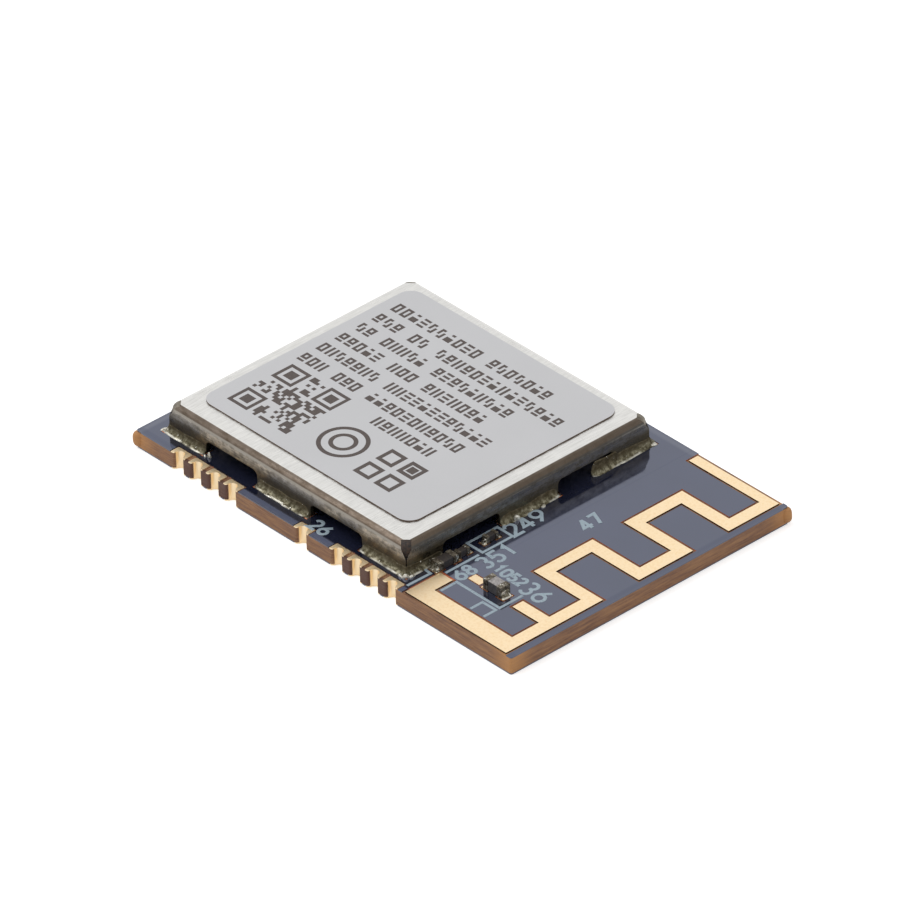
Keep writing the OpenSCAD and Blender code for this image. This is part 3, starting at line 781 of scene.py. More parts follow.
# The link chip's sides are dimmed to 0.16 of its colour: painted shade on its sides.
GREY_CERAMIC = Body("grey_ceramic", srgb(164, 160, 158), srgb(126, 120, 118), roughness=0.4,
                    sides=0.16)
DARK_CERAMIC = Body("dark_ceramic", srgb(54, 46, 42), srgb(30, 26, 26), roughness=0.35)
BLUE_CERAMIC = Body("blue_ceramic", srgb(120, 142, 164), srgb(96, 118, 142), roughness=0.4)
FERRITE = Body("dark_ferrite", srgb(74, 74, 74), srgb(50, 50, 50), roughness=0.6)
RESISTOR = Body("resistor_coat", srgb(42, 42, 44), srgb(28, 28, 30), roughness=0.3)
FLOOR = PaleFloor("pale_floor")

NODE_FINISHES: dict[str, Finish] = {
    "board_laminate": LAMINATE, "solder_mask_top": MASK, "solder_mask_bottom": MASK,
    "ground_copper": COPPER, "signal_track": COPPER, "antenna": ANTENNA_GOLD, "ground_pad": GOLD,
    "component_lands": GOLD, "spare_land": GOLD, "shield_lands": LAND_TIN, "shield_can": TIN,
    "shield_solder": SOLDER, "label": LABEL_FILM, "radio_chip_leads": LEAD_METAL,
    "radio_chip_body": MOULDING, "memory_chip_leads": LEAD_METAL, "memory_chip_body": MOULDING,
    "crystal_case": TAN_CERAMIC, "crystal_lid": LID_METAL, "power_inductor": FERRITE,
    "power_inductor_ends": CHIP_ENDS, "antenna_filter": BLUE_CERAMIC,
    "antenna_filter_ends": CHIP_ENDS, "inner_capacitors": TAN_CERAMIC,
    "inner_capacitor_ends": CHIP_ENDS, "inner_resistors": RESISTOR,
    "inner_resistor_ends": CHIP_ENDS, "tuning_capacitors": DARK_CERAMIC,
    "tuning_choke": DARK_CERAMIC, "antenna_link": GREY_CERAMIC, "outer_part_ends": OUTER_ENDS,
}


# ---- Surfaces ----


@dataclass
class Sheets:
    """Several surfaces that end up in one mesh."""

    points: list[np.ndarray] = field(default_factory=list)
    faces: list[tuple[int, ...]] = field(default_factory=list)
    count: int = 0

    def grid(self, points: np.ndarray, round_first: bool = False, round_second: bool = False,
             caps: bool = False) -> None:
        """Adds a surface from a grid of points: neighbours in the grid share a face.

        Args:
            points: Array of rows x columns x 3, in millimetres.
            round_first: Whether the last row joins the first.
            round_second: Whether the last column joins the first.
            caps: Whether the first and last rows are closed with a face.
        """
        rows, columns = points.shape[:2]
        index = np.arange(rows * columns).reshape(rows, columns) + self.count
        first = np.concatenate([index, index[:1]]) if round_first else index
        both = np.concatenate([first, first[:, :1]], axis=1) if round_second else first
        quads = np.stack([both[:-1, :-1], both[1:, :-1], both[1:, 1:], both[:-1, 1:]], axis=-1)
        self.faces += [tuple(quad) for quad in quads.reshape(-1, 4).tolist()]
        if caps:
            self.faces += [tuple(index[0].tolist()), tuple(index[-1][::-1].tolist())]
        self.points.append(points.reshape(-1, 3))
        self.count += rows * columns

    def tube(self, points: np.ndarray) -> None:
        """Adds a closed form: a grid whose columns run round and whose ends are capped."""
        self.grid(points, round_second=True, caps=True)

    def build(self, name: str, finish: Finish, smooth: bool = True) -> bpy.types.Object:
        """Makes the mesh and its object, with every face pointing outwards.

        Args:
            name: The object's name.
            finish: Its finish.
            smooth: Whether its faces are shaded smooth.

        Returns:
            The new object.
        """
        mesh = bpy.data.meshes.new(name)
        mesh.from_pydata((np.concatenate(self.points) * MM).tolist(), [], self.faces)
        work = bmesh.new()
        work.from_mesh(mesh)
        bmesh.ops.recalc_face_normals(work, faces=work.faces)
        work.to_mesh(mesh)
        work.free()
        mesh.polygons.foreach_set("use_smooth", np.full(len(mesh.polygons), smooth))
        mesh.materials.append(finish.material())
        piece = bpy.data.objects.new(name, mesh)
        bpy.context.scene.collection.objects.link(piece)
        return piece


def raised(flat: np.ndarray, level: np.ndarray) -> np.ndarray:
    """Puts heights on flat points.

    Args:
        flat: Array of rows x columns x 2.
        level: Heights, as an array that fits rows x columns.

    Returns:
        Array of rows x columns x 3.
    """
    return np.concatenate([flat, np.broadcast_to(level, flat.shape[:2])[:, :, None]], axis=2)


def ribbon(path: np.ndarray, width: float, low: float, high: float, closed: bool = False,
           shoulder: float = 0.75, least_cosine: float = 0.35) -> np.ndarray:
    """Carries a low ridge along a flat path. The ridge's four corners lie across the path, on
    the line that halves the turn there, so that corners are mitred.

    Args:
        path: Array of points x 2.
        width: Width of the ridge's foot.
        low: Height of its foot.
        high: Height of its top.
        closed: Whether the path runs round to its start.
        shoulder: Share of the width that the top keeps.
        least_cosine: Least cosine of half a turn, which bounds how far a mitre reaches.

    Returns:
        Grid of points x 4 x 3.
    """
    if closed:
        ahead = np.roll(path, -1, axis=0) - path
        behind = path - np.roll(path, 1, axis=0)
    else:
        steps = np.diff(path, axis=0)
        ahead = np.concatenate([steps, steps[-1:]])
        behind = np.concatenate([steps[:1], steps])
    ahead = ahead / np.linalg.norm(ahead, axis=1, keepdims=True)
    behind = behind / np.linalg.norm(behind, axis=1, keepdims=True)
    both = ahead + behind
    sides = np.stack([-both[:, 1], both[:, 0]], axis=1)
    sides = sides / np.linalg.norm(sides, axis=1, keepdims=True)
    straight = np.stack([-ahead[:, 1], ahead[:, 0]], axis=1)
    reach = 1 / np.maximum((sides * straight).sum(axis=1), least_cosine)
    across = np.array([-0.5, -0.5 * shoulder, 0.5 * shoulder, 0.5]) * width
    flat = path[:, None, :] + across[None, :, None] * (sides * reach[:, None])[:, None, :]
    return raised(flat, np.array([low, high, high, low]))


def arc(middle: Point2, radius: float, start: float, end: float, count: int = 12) -> np.ndarray:
    """Gives points on a circle: the middle plus the radius times cosine and sine of the angle.

    Args:
        middle: Centre.
        radius: Radius.
        start: First angle, in degrees.
        end: Last angle, in degrees.
        count: Number of points.

    Returns:
        Array of points x 2.
    """
    angles = np.radians(np.linspace(start, end, count))
    return np.array(middle) + radius * np.stack([np.cos(angles), np.sin(angles)], axis=1)


def ripple(where: np.ndarray, seed: int, waves: int, finest: float,
           loudest: float = 1.6) -> np.ndarray:
    """Smooth unevenness from about -1 to 1: the mean of sine waves of random direction and
    phase, times the root of their number, over the loudest such sum.

    Args:
        where: Array of any shape x 3, in millimetres.
        seed: Seed of the waves.
        waves: Number of waves.
        finest: Highest number of radians for each millimetre.
        loudest: What the sum seldom passes.

    Returns:
        Array of that shape.
    """
    random = np.random.default_rng(seed)
    ways = random.normal(size=(waves, 3))
    ways = ways / np.linalg.norm(ways, axis=1, keepdims=True)
    ways = ways * random.uniform(0.2, 1, (waves, 1)) * finest
    phases = random.uniform(0, 2 * math.pi, waves)
    return np.sin(where @ ways.T + phases).mean(axis=-1) * math.sqrt(waves) / loudest


def dress(node: str, finish: Finish) -> None:
    """Gives a CAD node its finish.

    Args:
        node: The node's name.
        finish: The finish for all its material slots.
    """
    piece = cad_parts[node]
    if not piece.material_slots:
        piece.data.materials.append(None)
    for slot in piece.material_slots:
        slot.material = finish.material()


def add(piece: bpy.types.Object, replaced: Iterable[str] = ()) -> None:
    """Puts a finished piece on the module, and reports it.

    Args:
        piece: The piece.
        replaced: The CAD nodes that it stands for.
    """
    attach(piece, BODY)
    if replaced:
        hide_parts(*replaced)
    log.info("%s: %d faces", piece.name, len(piece.data.polygons))


# ---- Sub-assemblies ----


class Assembly(Protocol):
    """What every sub-assembly can do."""

    def build(self) -> None:
        """Builds the sub-assembly's pieces."""


@dataclass
class Circuit:
    """Every CAD node of the board, its terminals and its parts, in its own finish."""

    def build(self) -> None:
        """Gives each CAD node its finish: the edge terminals have drilled barrels."""
        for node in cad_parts:
            dress(node, NODE_FINISHES.get(node, BARREL_GOLD))
        log.info("dressed %d nodes", len(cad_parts))


@dataclass
class ShieldCan:
    """The folded can, with soft edges."""

    edge: float = 0.035
    edge_faces: int = 2
    merged_within: float = 0.0004
    flat_within: float = math.radians(1)
    sharp_from: float = math.radians(35)
    node: str = "shield_can"

    def build(self) -> None:
        """Copies the can's CAD mesh, merges its loose triangles and rounds its cut edges."""
        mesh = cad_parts[self.node].data.copy()
        mesh.name = "can_with_soft_edges"
        work = bmesh.new()
        work.from_mesh(mesh)
        bmesh.ops.remove_doubles(work, verts=work.verts, dist=self.merged_within * MM)
        bmesh.ops.dissolve_limit(work, angle_limit=self.flat_within, verts=work.verts,
                                 edges=work.edges)
        work.to_mesh(mesh)
        work.free()
        mesh.materials.clear()
        mesh.materials.append(TIN.material())
        mesh.polygons.foreach_set("use_smooth", np.full(len(mesh.polygons), True))
        piece = bpy.data.objects.new(mesh.name, mesh)
        bpy.context.scene.collection.objects.link(piece)
        bevel = piece.modifiers.new("soft_edges", "BEVEL")
        bevel.width = self.edge * MM
        bevel.segments = self.edge_faces
        bevel.limit_method = "ANGLE"
        bevel.angle_limit = self.sharp_from
        bevel.use_clamp_overlap = True
        piece.modifiers.new("flat_faces", "WEIGHTED_NORMAL").weight = 100
        add(piece, [self.node])


@dataclass
class FootSolder:
    """Solder along the can's feet: an L at each corner and a run in the middle of each wall."""

    height: float = 0.33
    width: float = 0.27
    window: float = 3.0
    pitch: float = 6.1
    shift: float = 0.17
    step: float = 0.05
    end_fade: float = 0.22
    low_end: float = 0.25
    thin_end: float = 0.6
    tall_swell: float = 0.22
    wide_swell: float = 0.12
    corner_pinch: float = 0.5
    belly: float = 0.06
    tucked_in: float = 0.06
    tucked_under: float = 0.04
    foot_share: float = 0.9
    roughness: float = 0.009
    read_off_wall: float = 0.1
    section_points: int = 9
    bulge_span: Point2 = (3.3, 4.85)
    bulge_rise: float = 1.6
    seed: int = 3

    def run(self, path: np.ndarray, outward: np.ndarray) -> np.ndarray:
        """Carries a hollow, lumpy section along the foot of a wall. The section goes from the
        wall out to the board along a quarter of an ellipse, and both its height and its width
        swell and shrink along the path and close at the ends.

        Args:
            path: Points x 2 on the wall's outer face.
            outward: Points x 2, the way out from the wall at each point.

        Returns:
            Grid of points x section x 3.
        """
        steps = np.linalg.norm(np.diff(path, axis=0), axis=1)
        along = np.concatenate([[0], np.cumsum(steps)])
        from_end = np.minimum(along, along[-1] - along)
        taper = np.clip(from_end / self.end_fade, 0, 1) ** 0.5
        read = np.concatenate([path + outward * self.read_off_wall, np.zeros((len(path), 1))],
                              axis=1)
        swell = self.tall_swell * ripple(read, self.seed, waves=12, finest=7.0)
        tall = self.height * (1 + swell) * (self.low_end + (1 - self.low_end) * taper)
        swell = self.wide_swell * ripple(read, self.seed + 1, waves=12, finest=9.0)
        wide = self.width * (1 + swell) * (self.thin_end + (1 - self.thin_end) * taper)
        diagonal = 2 * np.abs(outward[:, 0] * outward[:, 1])
        wide = wide * (1 - self.corner_pinch * diagonal)

        turn = np.linspace(0, math.pi / 2, self.section_points)
        belly = self.belly * np.sin(2 * turn)
        section_out = np.concatenate([[-self.tucked_in] * 2, 1 - np.cos(turn) + belly,
                                      [self.foot_share]])
        section_up = np.concatenate([[-self.tucked_under, 1.0], 1 - np.sin(turn) + belly,
                                     [-self.tucked_under]])
        flat = path[:, None, :] + outward[:, None, :] * (section_out * wide[:, None])[:, :, None]
        grid = raised(flat, CAN_FOOT + section_up * tall[:, None])
        push = self.roughness * ripple(grid, self.seed + 2, waves=30, finest=34.0)
        push[:, :3] = push[:, -2:] = 0
        grid[:, :, :2] += outward[:, None, :] * push[:, :, None]
        grid[:, :, 2] += push
        return grid

    def side(self, number: int) -> list[tuple[np.ndarray, np.ndarray]]:
        """Lays out one wall's middle run, and the L round the corner at the wall's far end. Both
        are laid out for the wall that faces +X, and then turned.

        Args:
            number: Number of quarter turns.

        Returns:
            A path and its ways out, for each of the two.
        """
        spin = turned(90 * number)
        reach, span = np.roll(CAN.half[:2], number)
        shifts = (0.0, self.shift, 0.0, -self.shift)
        beside = (self.pitch + self.window) / 2
        level = np.arange(shifts[number] - (self.pitch - self.window) / 2,
                          shifts[number] + (self.pitch - self.window) / 2, self.step)
        first = np.arange(shifts[number] + beside, span, self.step)
        second = np.arange(reach, beside - shifts[(number + 1) % 4], -self.step)
        fan = np.linspace(0, math.pi / 2, self.section_points)
        ways = np.stack([np.cos(fan), np.sin(fan)], axis=1)
        middle = (np.stack([np.full_like(level, reach), level], axis=1),
                  np.repeat(ways[:1], len(level), axis=0))
        corner = (
            np.concatenate([np.stack([np.full_like(first, reach), first], axis=1),
                            np.broadcast_to([reach, span], ways.shape),
                            np.stack([second, np.full_like(second, span)], axis=1)]),
            np.concatenate([np.repeat([[1.0, 0.0]], len(first), axis=0), ways,
                            np.repeat([[0.0, 1.0]], len(second), axis=0)]))
        return [(path @ spin.T + CAN.middle[:2], out @ spin.T) for path, out in (middle, corner)]

    def build(self) -> None:
        """Builds the eight runs of solder and the bulge on the antenna's side in one piece."""
        sheets = Sheets()
        for number in range(4):
            for path, out in self.side(number):
                sheets.tube(self.run(path, out))
        level = np.arange(*self.bulge_span, self.step)
        path = np.stack([np.full_like(level, CAN.high[0]), level], axis=1)
        bulge = self.run(path, np.broadcast_to([1.0, 0.0], path.shape))
        bulge[:, :, 2] = CAN_FOOT + (bulge[:, :, 2] - CAN_FOOT) * self.bulge_rise
        sheets.tube(bulge)
        add(sheets.build("foot_solder", SOLDER), ["shield_solder"])


@dataclass(frozen=True)
class Bead:
    """One bead of solder: where it lies from a corner or an end of the can, half its length and
    width, its height, and the direction of its length in degrees."""

    corner: tuple[int, int]
    away: Point2
    size: Point3
    turn: float = 0


@dataclass
class SolderBeads:
    """Small bright beads of solder that were left beside the can."""

    beads: tuple[Bead, ...] = (
        Bead((-1, -1), (-0.16, -0.05), (0.2, 0.09, 0.05), 70),
        Bead((-1, -1), (2.52, -0.1), (0.1, 0.07, 0.2), 20),
        Bead((-1, -1), (2.36, -0.2), (0.07, 0.05, 0.08)),
        Bead((1, -1), (0.13, -0.15), (0.15, 0.07, 0.17), 45),
        Bead((1, -1), (-0.1, -0.24), (0.16, 0.06, 0.1), -15),
        Bead((1, -1), (0.25, 0.06), (0.14, 0.06, 0.1), 80),
        Bead((1, 1), (0.16, 0.02), (0.18, 0.08, 0.06), 60),
        Bead((-1, -1), (7.1, -0.26), (0.3, 0.05, 0.05)),
        Bead((-1, -1), (6.1, -0.25), (0.2, 0.04, 0.04)),
        Bead((1, 0), (0.2, -0.85), (0.16, 0.1, 0.22), 75),
        Bead((1, 0), (0.28, 0.5), (0.12, 0.07, 0.1), 90),
    )
    swell: float = 0.22
    lump: float = 1.4
    lowest: float = -0.35
    highest: float = math.pi / 2 * 0.98
    rings: int = 10
    ring_points: int = 22
    seed: int = 5

    def shape(self, bead: Bead) -> np.ndarray:
        """Works out a lumpy bead that sits on the board: half of an ellipsoid, with a rippled
        radius and a foot that dips into the board.

        Args:
            bead: The bead.

        Returns:
            Grid of rings x points x 3.
        """
        middle = np.append(CAN.middle[:2] + CAN.half[:2] * bead.corner + bead.away, COAT_TOP)
        side = np.linspace(0, 2 * math.pi, self.ring_points, endpoint=False)
        rise = np.linspace(self.lowest, self.highest, self.rings)
        around, up = np.meshgrid(side, rise, indexing="xy")
        unit = np.stack([np.cos(around) * np.cos(up), np.sin(around) * np.cos(up), np.sin(up)],
                        axis=2)
        swell = 1 + self.swell * ripple(unit * self.lump + middle, self.seed, waves=14,
                                        finest=4.5)
        local = unit * swell[:, :, None] * bead.size
        spin = np.eye(3)
        spin[:2, :2] = turned(bead.turn)
        return local @ spin.T + middle

    def build(self) -> None:
        """Builds all the beads in one piece."""
        sheets = Sheets()
        for bead in self.beads:
            sheets.tube(self.shape(bead))
        add(sheets.build("solder_beads", BEAD_METAL))


@dataclass
class CornerSeams:
    """What fills the can's corner seams: in the front one a near-black leaf, partly browned flux
    and partly painted shade of the slit, and solder in the others.
    """

    inside: float = 0.15
    bend: float = 0.3
    above_foot: float = 0.15
    below_top: float = 0.015
    narrow: float = 0.08
    wider: float = 0.13
    widens_at: float = 0.6
    widens_over: float = 0.3
    half_thickness: float = 0.05
    rings: int = 26
    ring_points: int = 12

    def leaf(self, sx: int, sy: int) -> np.ndarray:
        """Works out a leaf across a corner. Its section is an ellipse, wide at the bend and
        narrow at the foot, and it leans in along the bend's quarter circle: by the radius less
        the root of the radius squared less the height above the bend's start squared.

        Args:
            sx: The corner's sign along X.
            sy: The corner's sign along Y.

        Returns:
            Grid of rings x points x 3.
        """
        tall = 2 * CAN.half[2]
        heights = np.linspace(self.above_foot, tall - self.below_top, self.rings)
        half_width = self.narrow + self.wider * np.clip(
            (heights - self.widens_at) / self.widens_over, 0, 1)
        climbed = np.maximum(heights - tall + self.bend, 0)
        lean = self.bend - np.sqrt(np.maximum(self.bend**2 - climbed**2, 0))
        inset = CAN.half[:2] - self.inside - lean[:, None]
        corner = (CAN.middle[:2] + inset * (sx, sy))[:, None, :]
        across = np.array([sx, -sy]) / math.sqrt(2)
        out = np.array([sx, sy]) / math.sqrt(2)
        turn = np.linspace(0, 2 * math.pi, self.ring_points, endpoint=False)[:, None]
        ring = (np.cos(turn) * across * half_width[:, None, None]
                + np.sin(turn) * out * self.half_thickness)
        return raised(corner + ring, (CAN_FOOT + heights)[:, None])

    def build(self) -> None:
        """Builds the dark leaf, partly flux and partly painted shade, and the solder, each in one
        piece.
        """
        for name, finish, corners in (
            # The front seam's leaf is partly flux and partly painted shade of the slit.
            ("flux_and_painted_shade", FLUX_AND_PAINTED_SHADE, ((1, -1),)),
            ("filled_seams", SEAM_METAL, ((-1, -1), (-1, 1), (1, 1))),
        ):
            sheets = Sheets()
            for sx, sy in corners:
                sheets.tube(self.leaf(sx, sy))
            add(sheets.build(name, finish))


@dataclass
class EndSolder:
    """Hollow fillets of solder at both ends of the small parts beside the can. For each part, a
    pair gives how far the fillets stand from its middle and how high they climb."""

    reach: float = 0.17
    overhang: float = 1.04
    end_drop: float = 0.35
    tucked_in: float = 0.04
    tucked_under: float = 0.01
    foot_share: float = 0.7
    roughness: float = 0.02
    link: Point2 = (0.5, 0.3)
    choke: Point2 = (0.5, 0.22)
    capacitor: Point2 = (0.3, 0.18)
    capacitor_inset: float = 0.28
    section_points: int = 7
    sections: int = 9
    seed: int = 9

    def fillet(self, foot: np.ndarray, out: Point2, wide: float, tall: float) -> np.ndarray:
        """Works out one fillet, from the end face down to the board along a quarter of an
        ellipse. It falls off towards its sides with the fourth power of the way there.

        Args:
            foot: Middle of the end face's lower edge.
            out: Direction away from the part.
            wide: Width of the part.
            tall: Height that the solder climbs.

        Returns:
            Grid of sections x points x 3.
        """
        across = np.array([-out[1], out[0]])
        turn = np.linspace(0, math.pi / 2, self.section_points)
        forward = np.concatenate([[-self.tucked_in] * 2, 1 - np.cos(turn), [self.foot_share]])
        upward = np.concatenate([[-self.tucked_under / tall, 1.0], 1 - np.sin(turn),
                                 [-self.tucked_under / tall]])
        shares = np.linspace(-0.5, 0.5, self.sections)[:, None]
        fall = 1 - (2 * np.abs(shares)) ** 4 * self.end_drop
        flat = (foot + (shares * wide * self.overhang)[:, :, None] * across
                + (forward * self.reach * fall)[:, :, None] * np.array(out))
        grid = raised(flat, COAT_TOP + upward * tall * fall)
        lumps = self.roughness * ripple(grid, self.seed, waves=20, finest=22.0)
        grid[:, 2:-1, 2] += lumps[:, 2:-1]
        return grid

    def build(self) -> None:
        """Builds the fillets of the link, the choke and the tuning capacitors."""
        link, choke = Box.of("antenna_link"), Box.of("tuning_choke")
        pair = Box.of("tuning_capacitors")
        ends = (pair.low[1] + self.capacitor_inset, pair.high[1] - self.capacitor_inset)
        sheets = Sheets()
        for side in (-1, 1):
            half, tall = self.link
            foot = link.middle[:2] + (side * half, 0)
            sheets.tube(self.fillet(foot, (side, 0), 2 * link.half[1], tall))
            half, tall = self.choke
            foot = choke.middle[:2] + (0, side * half)
            sheets.tube(self.fillet(foot, (0, side), 2 * choke.half[0], tall))
            half, tall = self.capacitor
            for middle in ends:
                foot = np.array([pair.middle[0], middle + side * half])
                sheets.tube(self.fillet(foot, (0, side), 2 * pair.half[0], tall))
        add(sheets.build("end_solder", END_METAL))


class Mark(Enum):
    """The plain marks that make up the rows of print."""

    FRAME = 0
    TWIN = 1
    STACK = 2
    CORNERS = 3
    BLOCK = 4
    SHELF = 5


@dataclass(frozen=True)
class PrintRow:
    """One row of print: where it starts from the left margin, its height above the board's
    middle line, its length, and which of its cells are bare."""

    start: float
    y: float
    length: float
    bare: tuple[int, ...] = ()


@dataclass
class LabelPrint:
    """Dark print on the label: rows of plain marks, a matrix of squares and two plain signs."""

    line: float = 0.125
    cap: float = 0.6
    cell: float = 0.505
    mark_share: float = 0.72
    hook_share: float = 0.4
    block_share: float = 0.5
    block_drop: float = 0.2
    shelf_share: float = 0.66
    shelf_rise: float = 0.16
    left: float = 0.5
    thickness: float = 0.003
    shoulder: float = 0.94
    rows: tuple[PrintRow, ...] = (
        PrintRow(0, 4.48, 9.1, (10,)), PrintRow(0, 3.48, 10.8, (3, 6)),
        PrintRow(0, 2.52, 8.95, (2, 8)), PrintRow(0, 1.51, 8.53, (5, 9)),
        PrintRow(0, 0.5, 9.85, (7,)), PrintRow(0, -0.51, 9.4, (3, 7)),
        PrintRow(5.36, -1.49, 3.46),
    )
    matrix_corner: Point2 = (0.27, -4.66)
    matrix_side: float = 3.48
    matrix_cells: int = 21
    matrix_filled: float = 0.48
    cell_overlap: float = 1.01
    target_cells: int = 7
    eye_cells: int = 3
    ring_at: Point2 = (0.13, -3.42)
    ring_radii: Point2 = (0.98, 0.5)
    ring_points: int = 40
    sign_line: float = 0.19
    boxes_away: float = 2.75
    box_reach: float = 0.6
    box_side: float = 0.92
    box_fill: float = 0.4
    seed: int = 11
    sheets: Sheets = field(default_factory=Sheets)
    label: Box = field(default_factory=lambda: Box.of("label"))
    random: np.random.Generator = field(init=False)

    def __post_init__(self) -> None:
        """Starts the random draws."""
        self.random = np.random.default_rng(self.seed)

    def stroke(self, points: Sequence[Point2], width: float, closed: bool = False) -> None:
        """Adds one line of ink.

        Args:
            points: The line's points.
            width: The line's width.
            closed: Whether it runs round to its start.
        """
        low = self.label.high[2]
        grid = ribbon(np.array(points, float), width, low, low + self.thickness, closed,
                      self.shoulder)
        self.sheets.grid(grid, round_first=closed, caps=not closed)

    def outline(self, x: float, y: float, wide: float, tall: float, width: float) -> None:
        """Adds the outline of a rectangle, whose middle and outer size are given."""
        a, b = wide / 2 - width / 2, tall / 2 - width / 2
        self.stroke([(x - a, y - b), (x + a, y - b), (x + a, y + b), (x - a, y + b)], width, True)

    def block(self, x: float, y: float, wide: float, tall: float) -> None:
        """Adds a filled rectangle, whose middle and size are given."""
        self.stroke([(x - wide / 2, y), (x + wide / 2, y)], tall)

    def mark(self, kind: Mark, x: float, y: float) -> None:
        """Adds one plain mark of a row.

        Args:
            kind: Which of the marks it is.
            x: Its middle.
            y: Its middle.
        """
        tall, line = self.cap, self.line
        wide = self.cell * self.mark_share
        a, b = (wide - line) / 2, (tall - line) / 2
        if kind is Mark.FRAME:
            self.outline(x, y, wide, tall, line)
        elif kind is Mark.TWIN:
            for side in (-1, 1):
                self.block(x + side * a, y, line, tall)
        elif kind is Mark.STACK:
            for side in (-1, 0, 1):
                self.block(x, y + side * b, wide, line)
        elif kind is Mark.CORNERS:
            for side in (-1, 1):
                u, v = side * a, side * b
                self.stroke([(x + u, y + v * self.hook_share), (x + u, y - v),
                             (x - u * self.hook_share, y - v)], line)
        elif kind is Mark.BLOCK:
            self.block(x, y - tall * self.block_drop, wide, tall * self.block_share)
            self.block(x, y + b, wide * self.block_share, line)
        else:
            self.outline(x, y + tall * self.shelf_rise, wide, tall * self.shelf_share, line)
            self.block(x, y - b, wide, line)

    def row(self, row: PrintRow) -> None:
        """Adds a row of marks, drawn at random, with some cells left bare.

        Args:
            row: The row.
        """
        count = round(row.length / self.cell)
        kinds = self.random.integers(0, len(Mark), count)
        start = self.label.low[0] + self.left + row.start
        for number in range(count):
            if number not in row.bare:
                self.mark(Mark(int(kinds[number])),
                          start + (number + 0.5) * row.length / count, row.y)

    def matrix(self) -> None:
        """Adds a square of cells scattered at random, with three framed corners."""
        count, side = self.matrix_cells, self.matrix_side
        x0 = self.label.low[0] + self.left + self.matrix_corner[0]
        y0 = self.matrix_corner[1]
        cell = side / count
        filled = self.random.random((count, count)) < self.matrix_filled
        free = self.target_cells + 1
        filled[-free:, :free] = filled[-free:, -free:] = filled[:free, :free] = False
        for line in range(count):
            starts = np.flatnonzero(np.diff(np.concatenate([[0], filled[line], [0]])))
            for first, last in zip(starts[::2], starts[1::2]):
                self.block(x0 + (first + last) / 2 * cell, y0 + (line + 0.5) * cell,
                           (last - first) * cell, cell * self.cell_overlap)
        outer, inner = self.target_cells * cell, self.eye_cells * cell
        for u, v in ((0, 0), (0, 1), (1, 1)):
            x = x0 + outer / 2 + u * (side - outer)
            y = y0 + outer / 2 + v * (side - outer)
            self.outline(x, y, outer, outer, cell)
            self.block(x, y, inner, inner)

    def signs(self) -> None:
        """Adds two plain signs: a double ring, and four small frames with one filled."""
        x, y = self.label.middle[0] + self.ring_at[0], self.ring_at[1]
        for radius in self.ring_radii:
            ring = arc((x, y), radius, 0, 360, self.ring_points + 1)[:-1]
            self.stroke(ring, self.sign_line, True)
        middle, reach = x + self.boxes_away, self.box_reach
        for u in (-1, 1):
            for v in (-1, 1):
                self.outline(middle + u * reach, y + v * reach, self.box_side, self.box_side,
                             self.sign_line)
        self.block(middle + reach, y + reach, self.box_fill, self.box_fill)

    def build(self) -> None:
        """Builds all the print in one thin piece."""
        for row in self.rows:
            self.row(row)
        self.matrix()
        self.signs()
        add(self.sheets.build("label_print", LABEL_INK, smooth=False))


@dataclass
class SawnCorners:
    """Rounded burrs of laminate that the saw left at two corners of the board."""

    reach: float = 0.26
    breadth: float = 0.2
    inset: float = 0.08
    past_faces: float = 0.01
    thin_end: float = 0.15
    roughness: float = 0.012
    rings: int = 15
    ring_points: int = 28
    corners: tuple[tuple[int, int], ...] = ((-1, -1), (1, 1))
    seed: int = 21

    def build(self) -> None:
        """Builds each burr as half of a squashed barrel that stands on the corner's edge. Its
        profile is a superellipse from the underside to the top, and its width fades inwards."""
        rise = np.linspace(-1, 1, self.rings)
        swell = (1 - np.abs(rise) ** 3) ** 0.5
        share = (self.thin_end + (1 - self.thin_end) * swell)[:, None, None]
        level = BOARD.middle[2] + rise * (BOARD.half[2] + self.past_faces)
        around = np.linspace(0, 2 * math.pi, self.ring_points, endpoint=False)[:, None]
        sheets = Sheets()
        for sx, sy in self.corners:
            out = np.array([sx, sy]) / math.sqrt(2)
            across = np.array([sx, -sy]) / math.sqrt(2)
            ring = np.cos(around) * out * self.reach + np.sin(around) * across * self.breadth
            corner = BOARD.middle[:2] + (BOARD.half[:2] - self.inset) * (sx, sy)
            grid = raised(corner + ring * share, level[:, None])
            lumps = self.roughness * ripple(grid, self.seed, waves=14, finest=12.0)
            grid[:, :, :2] += lumps[:, :, None]
            sheets.tube(grid)
        add(sheets.build("sawn_corners", LAMINATE))


@dataclass(frozen=True)
class Numeral:
    """A plain number printed on the board: its digits, the start and the direction of its
    baseline in degrees, and its height."""

    digits: str
    start: Point2
    turn: float
    tall: float


@dataclass(frozen=True)
class Outline:
    """A line printed on the board, which may run round to its start."""

    points: tuple[Point2, ...]
    closed: bool = False


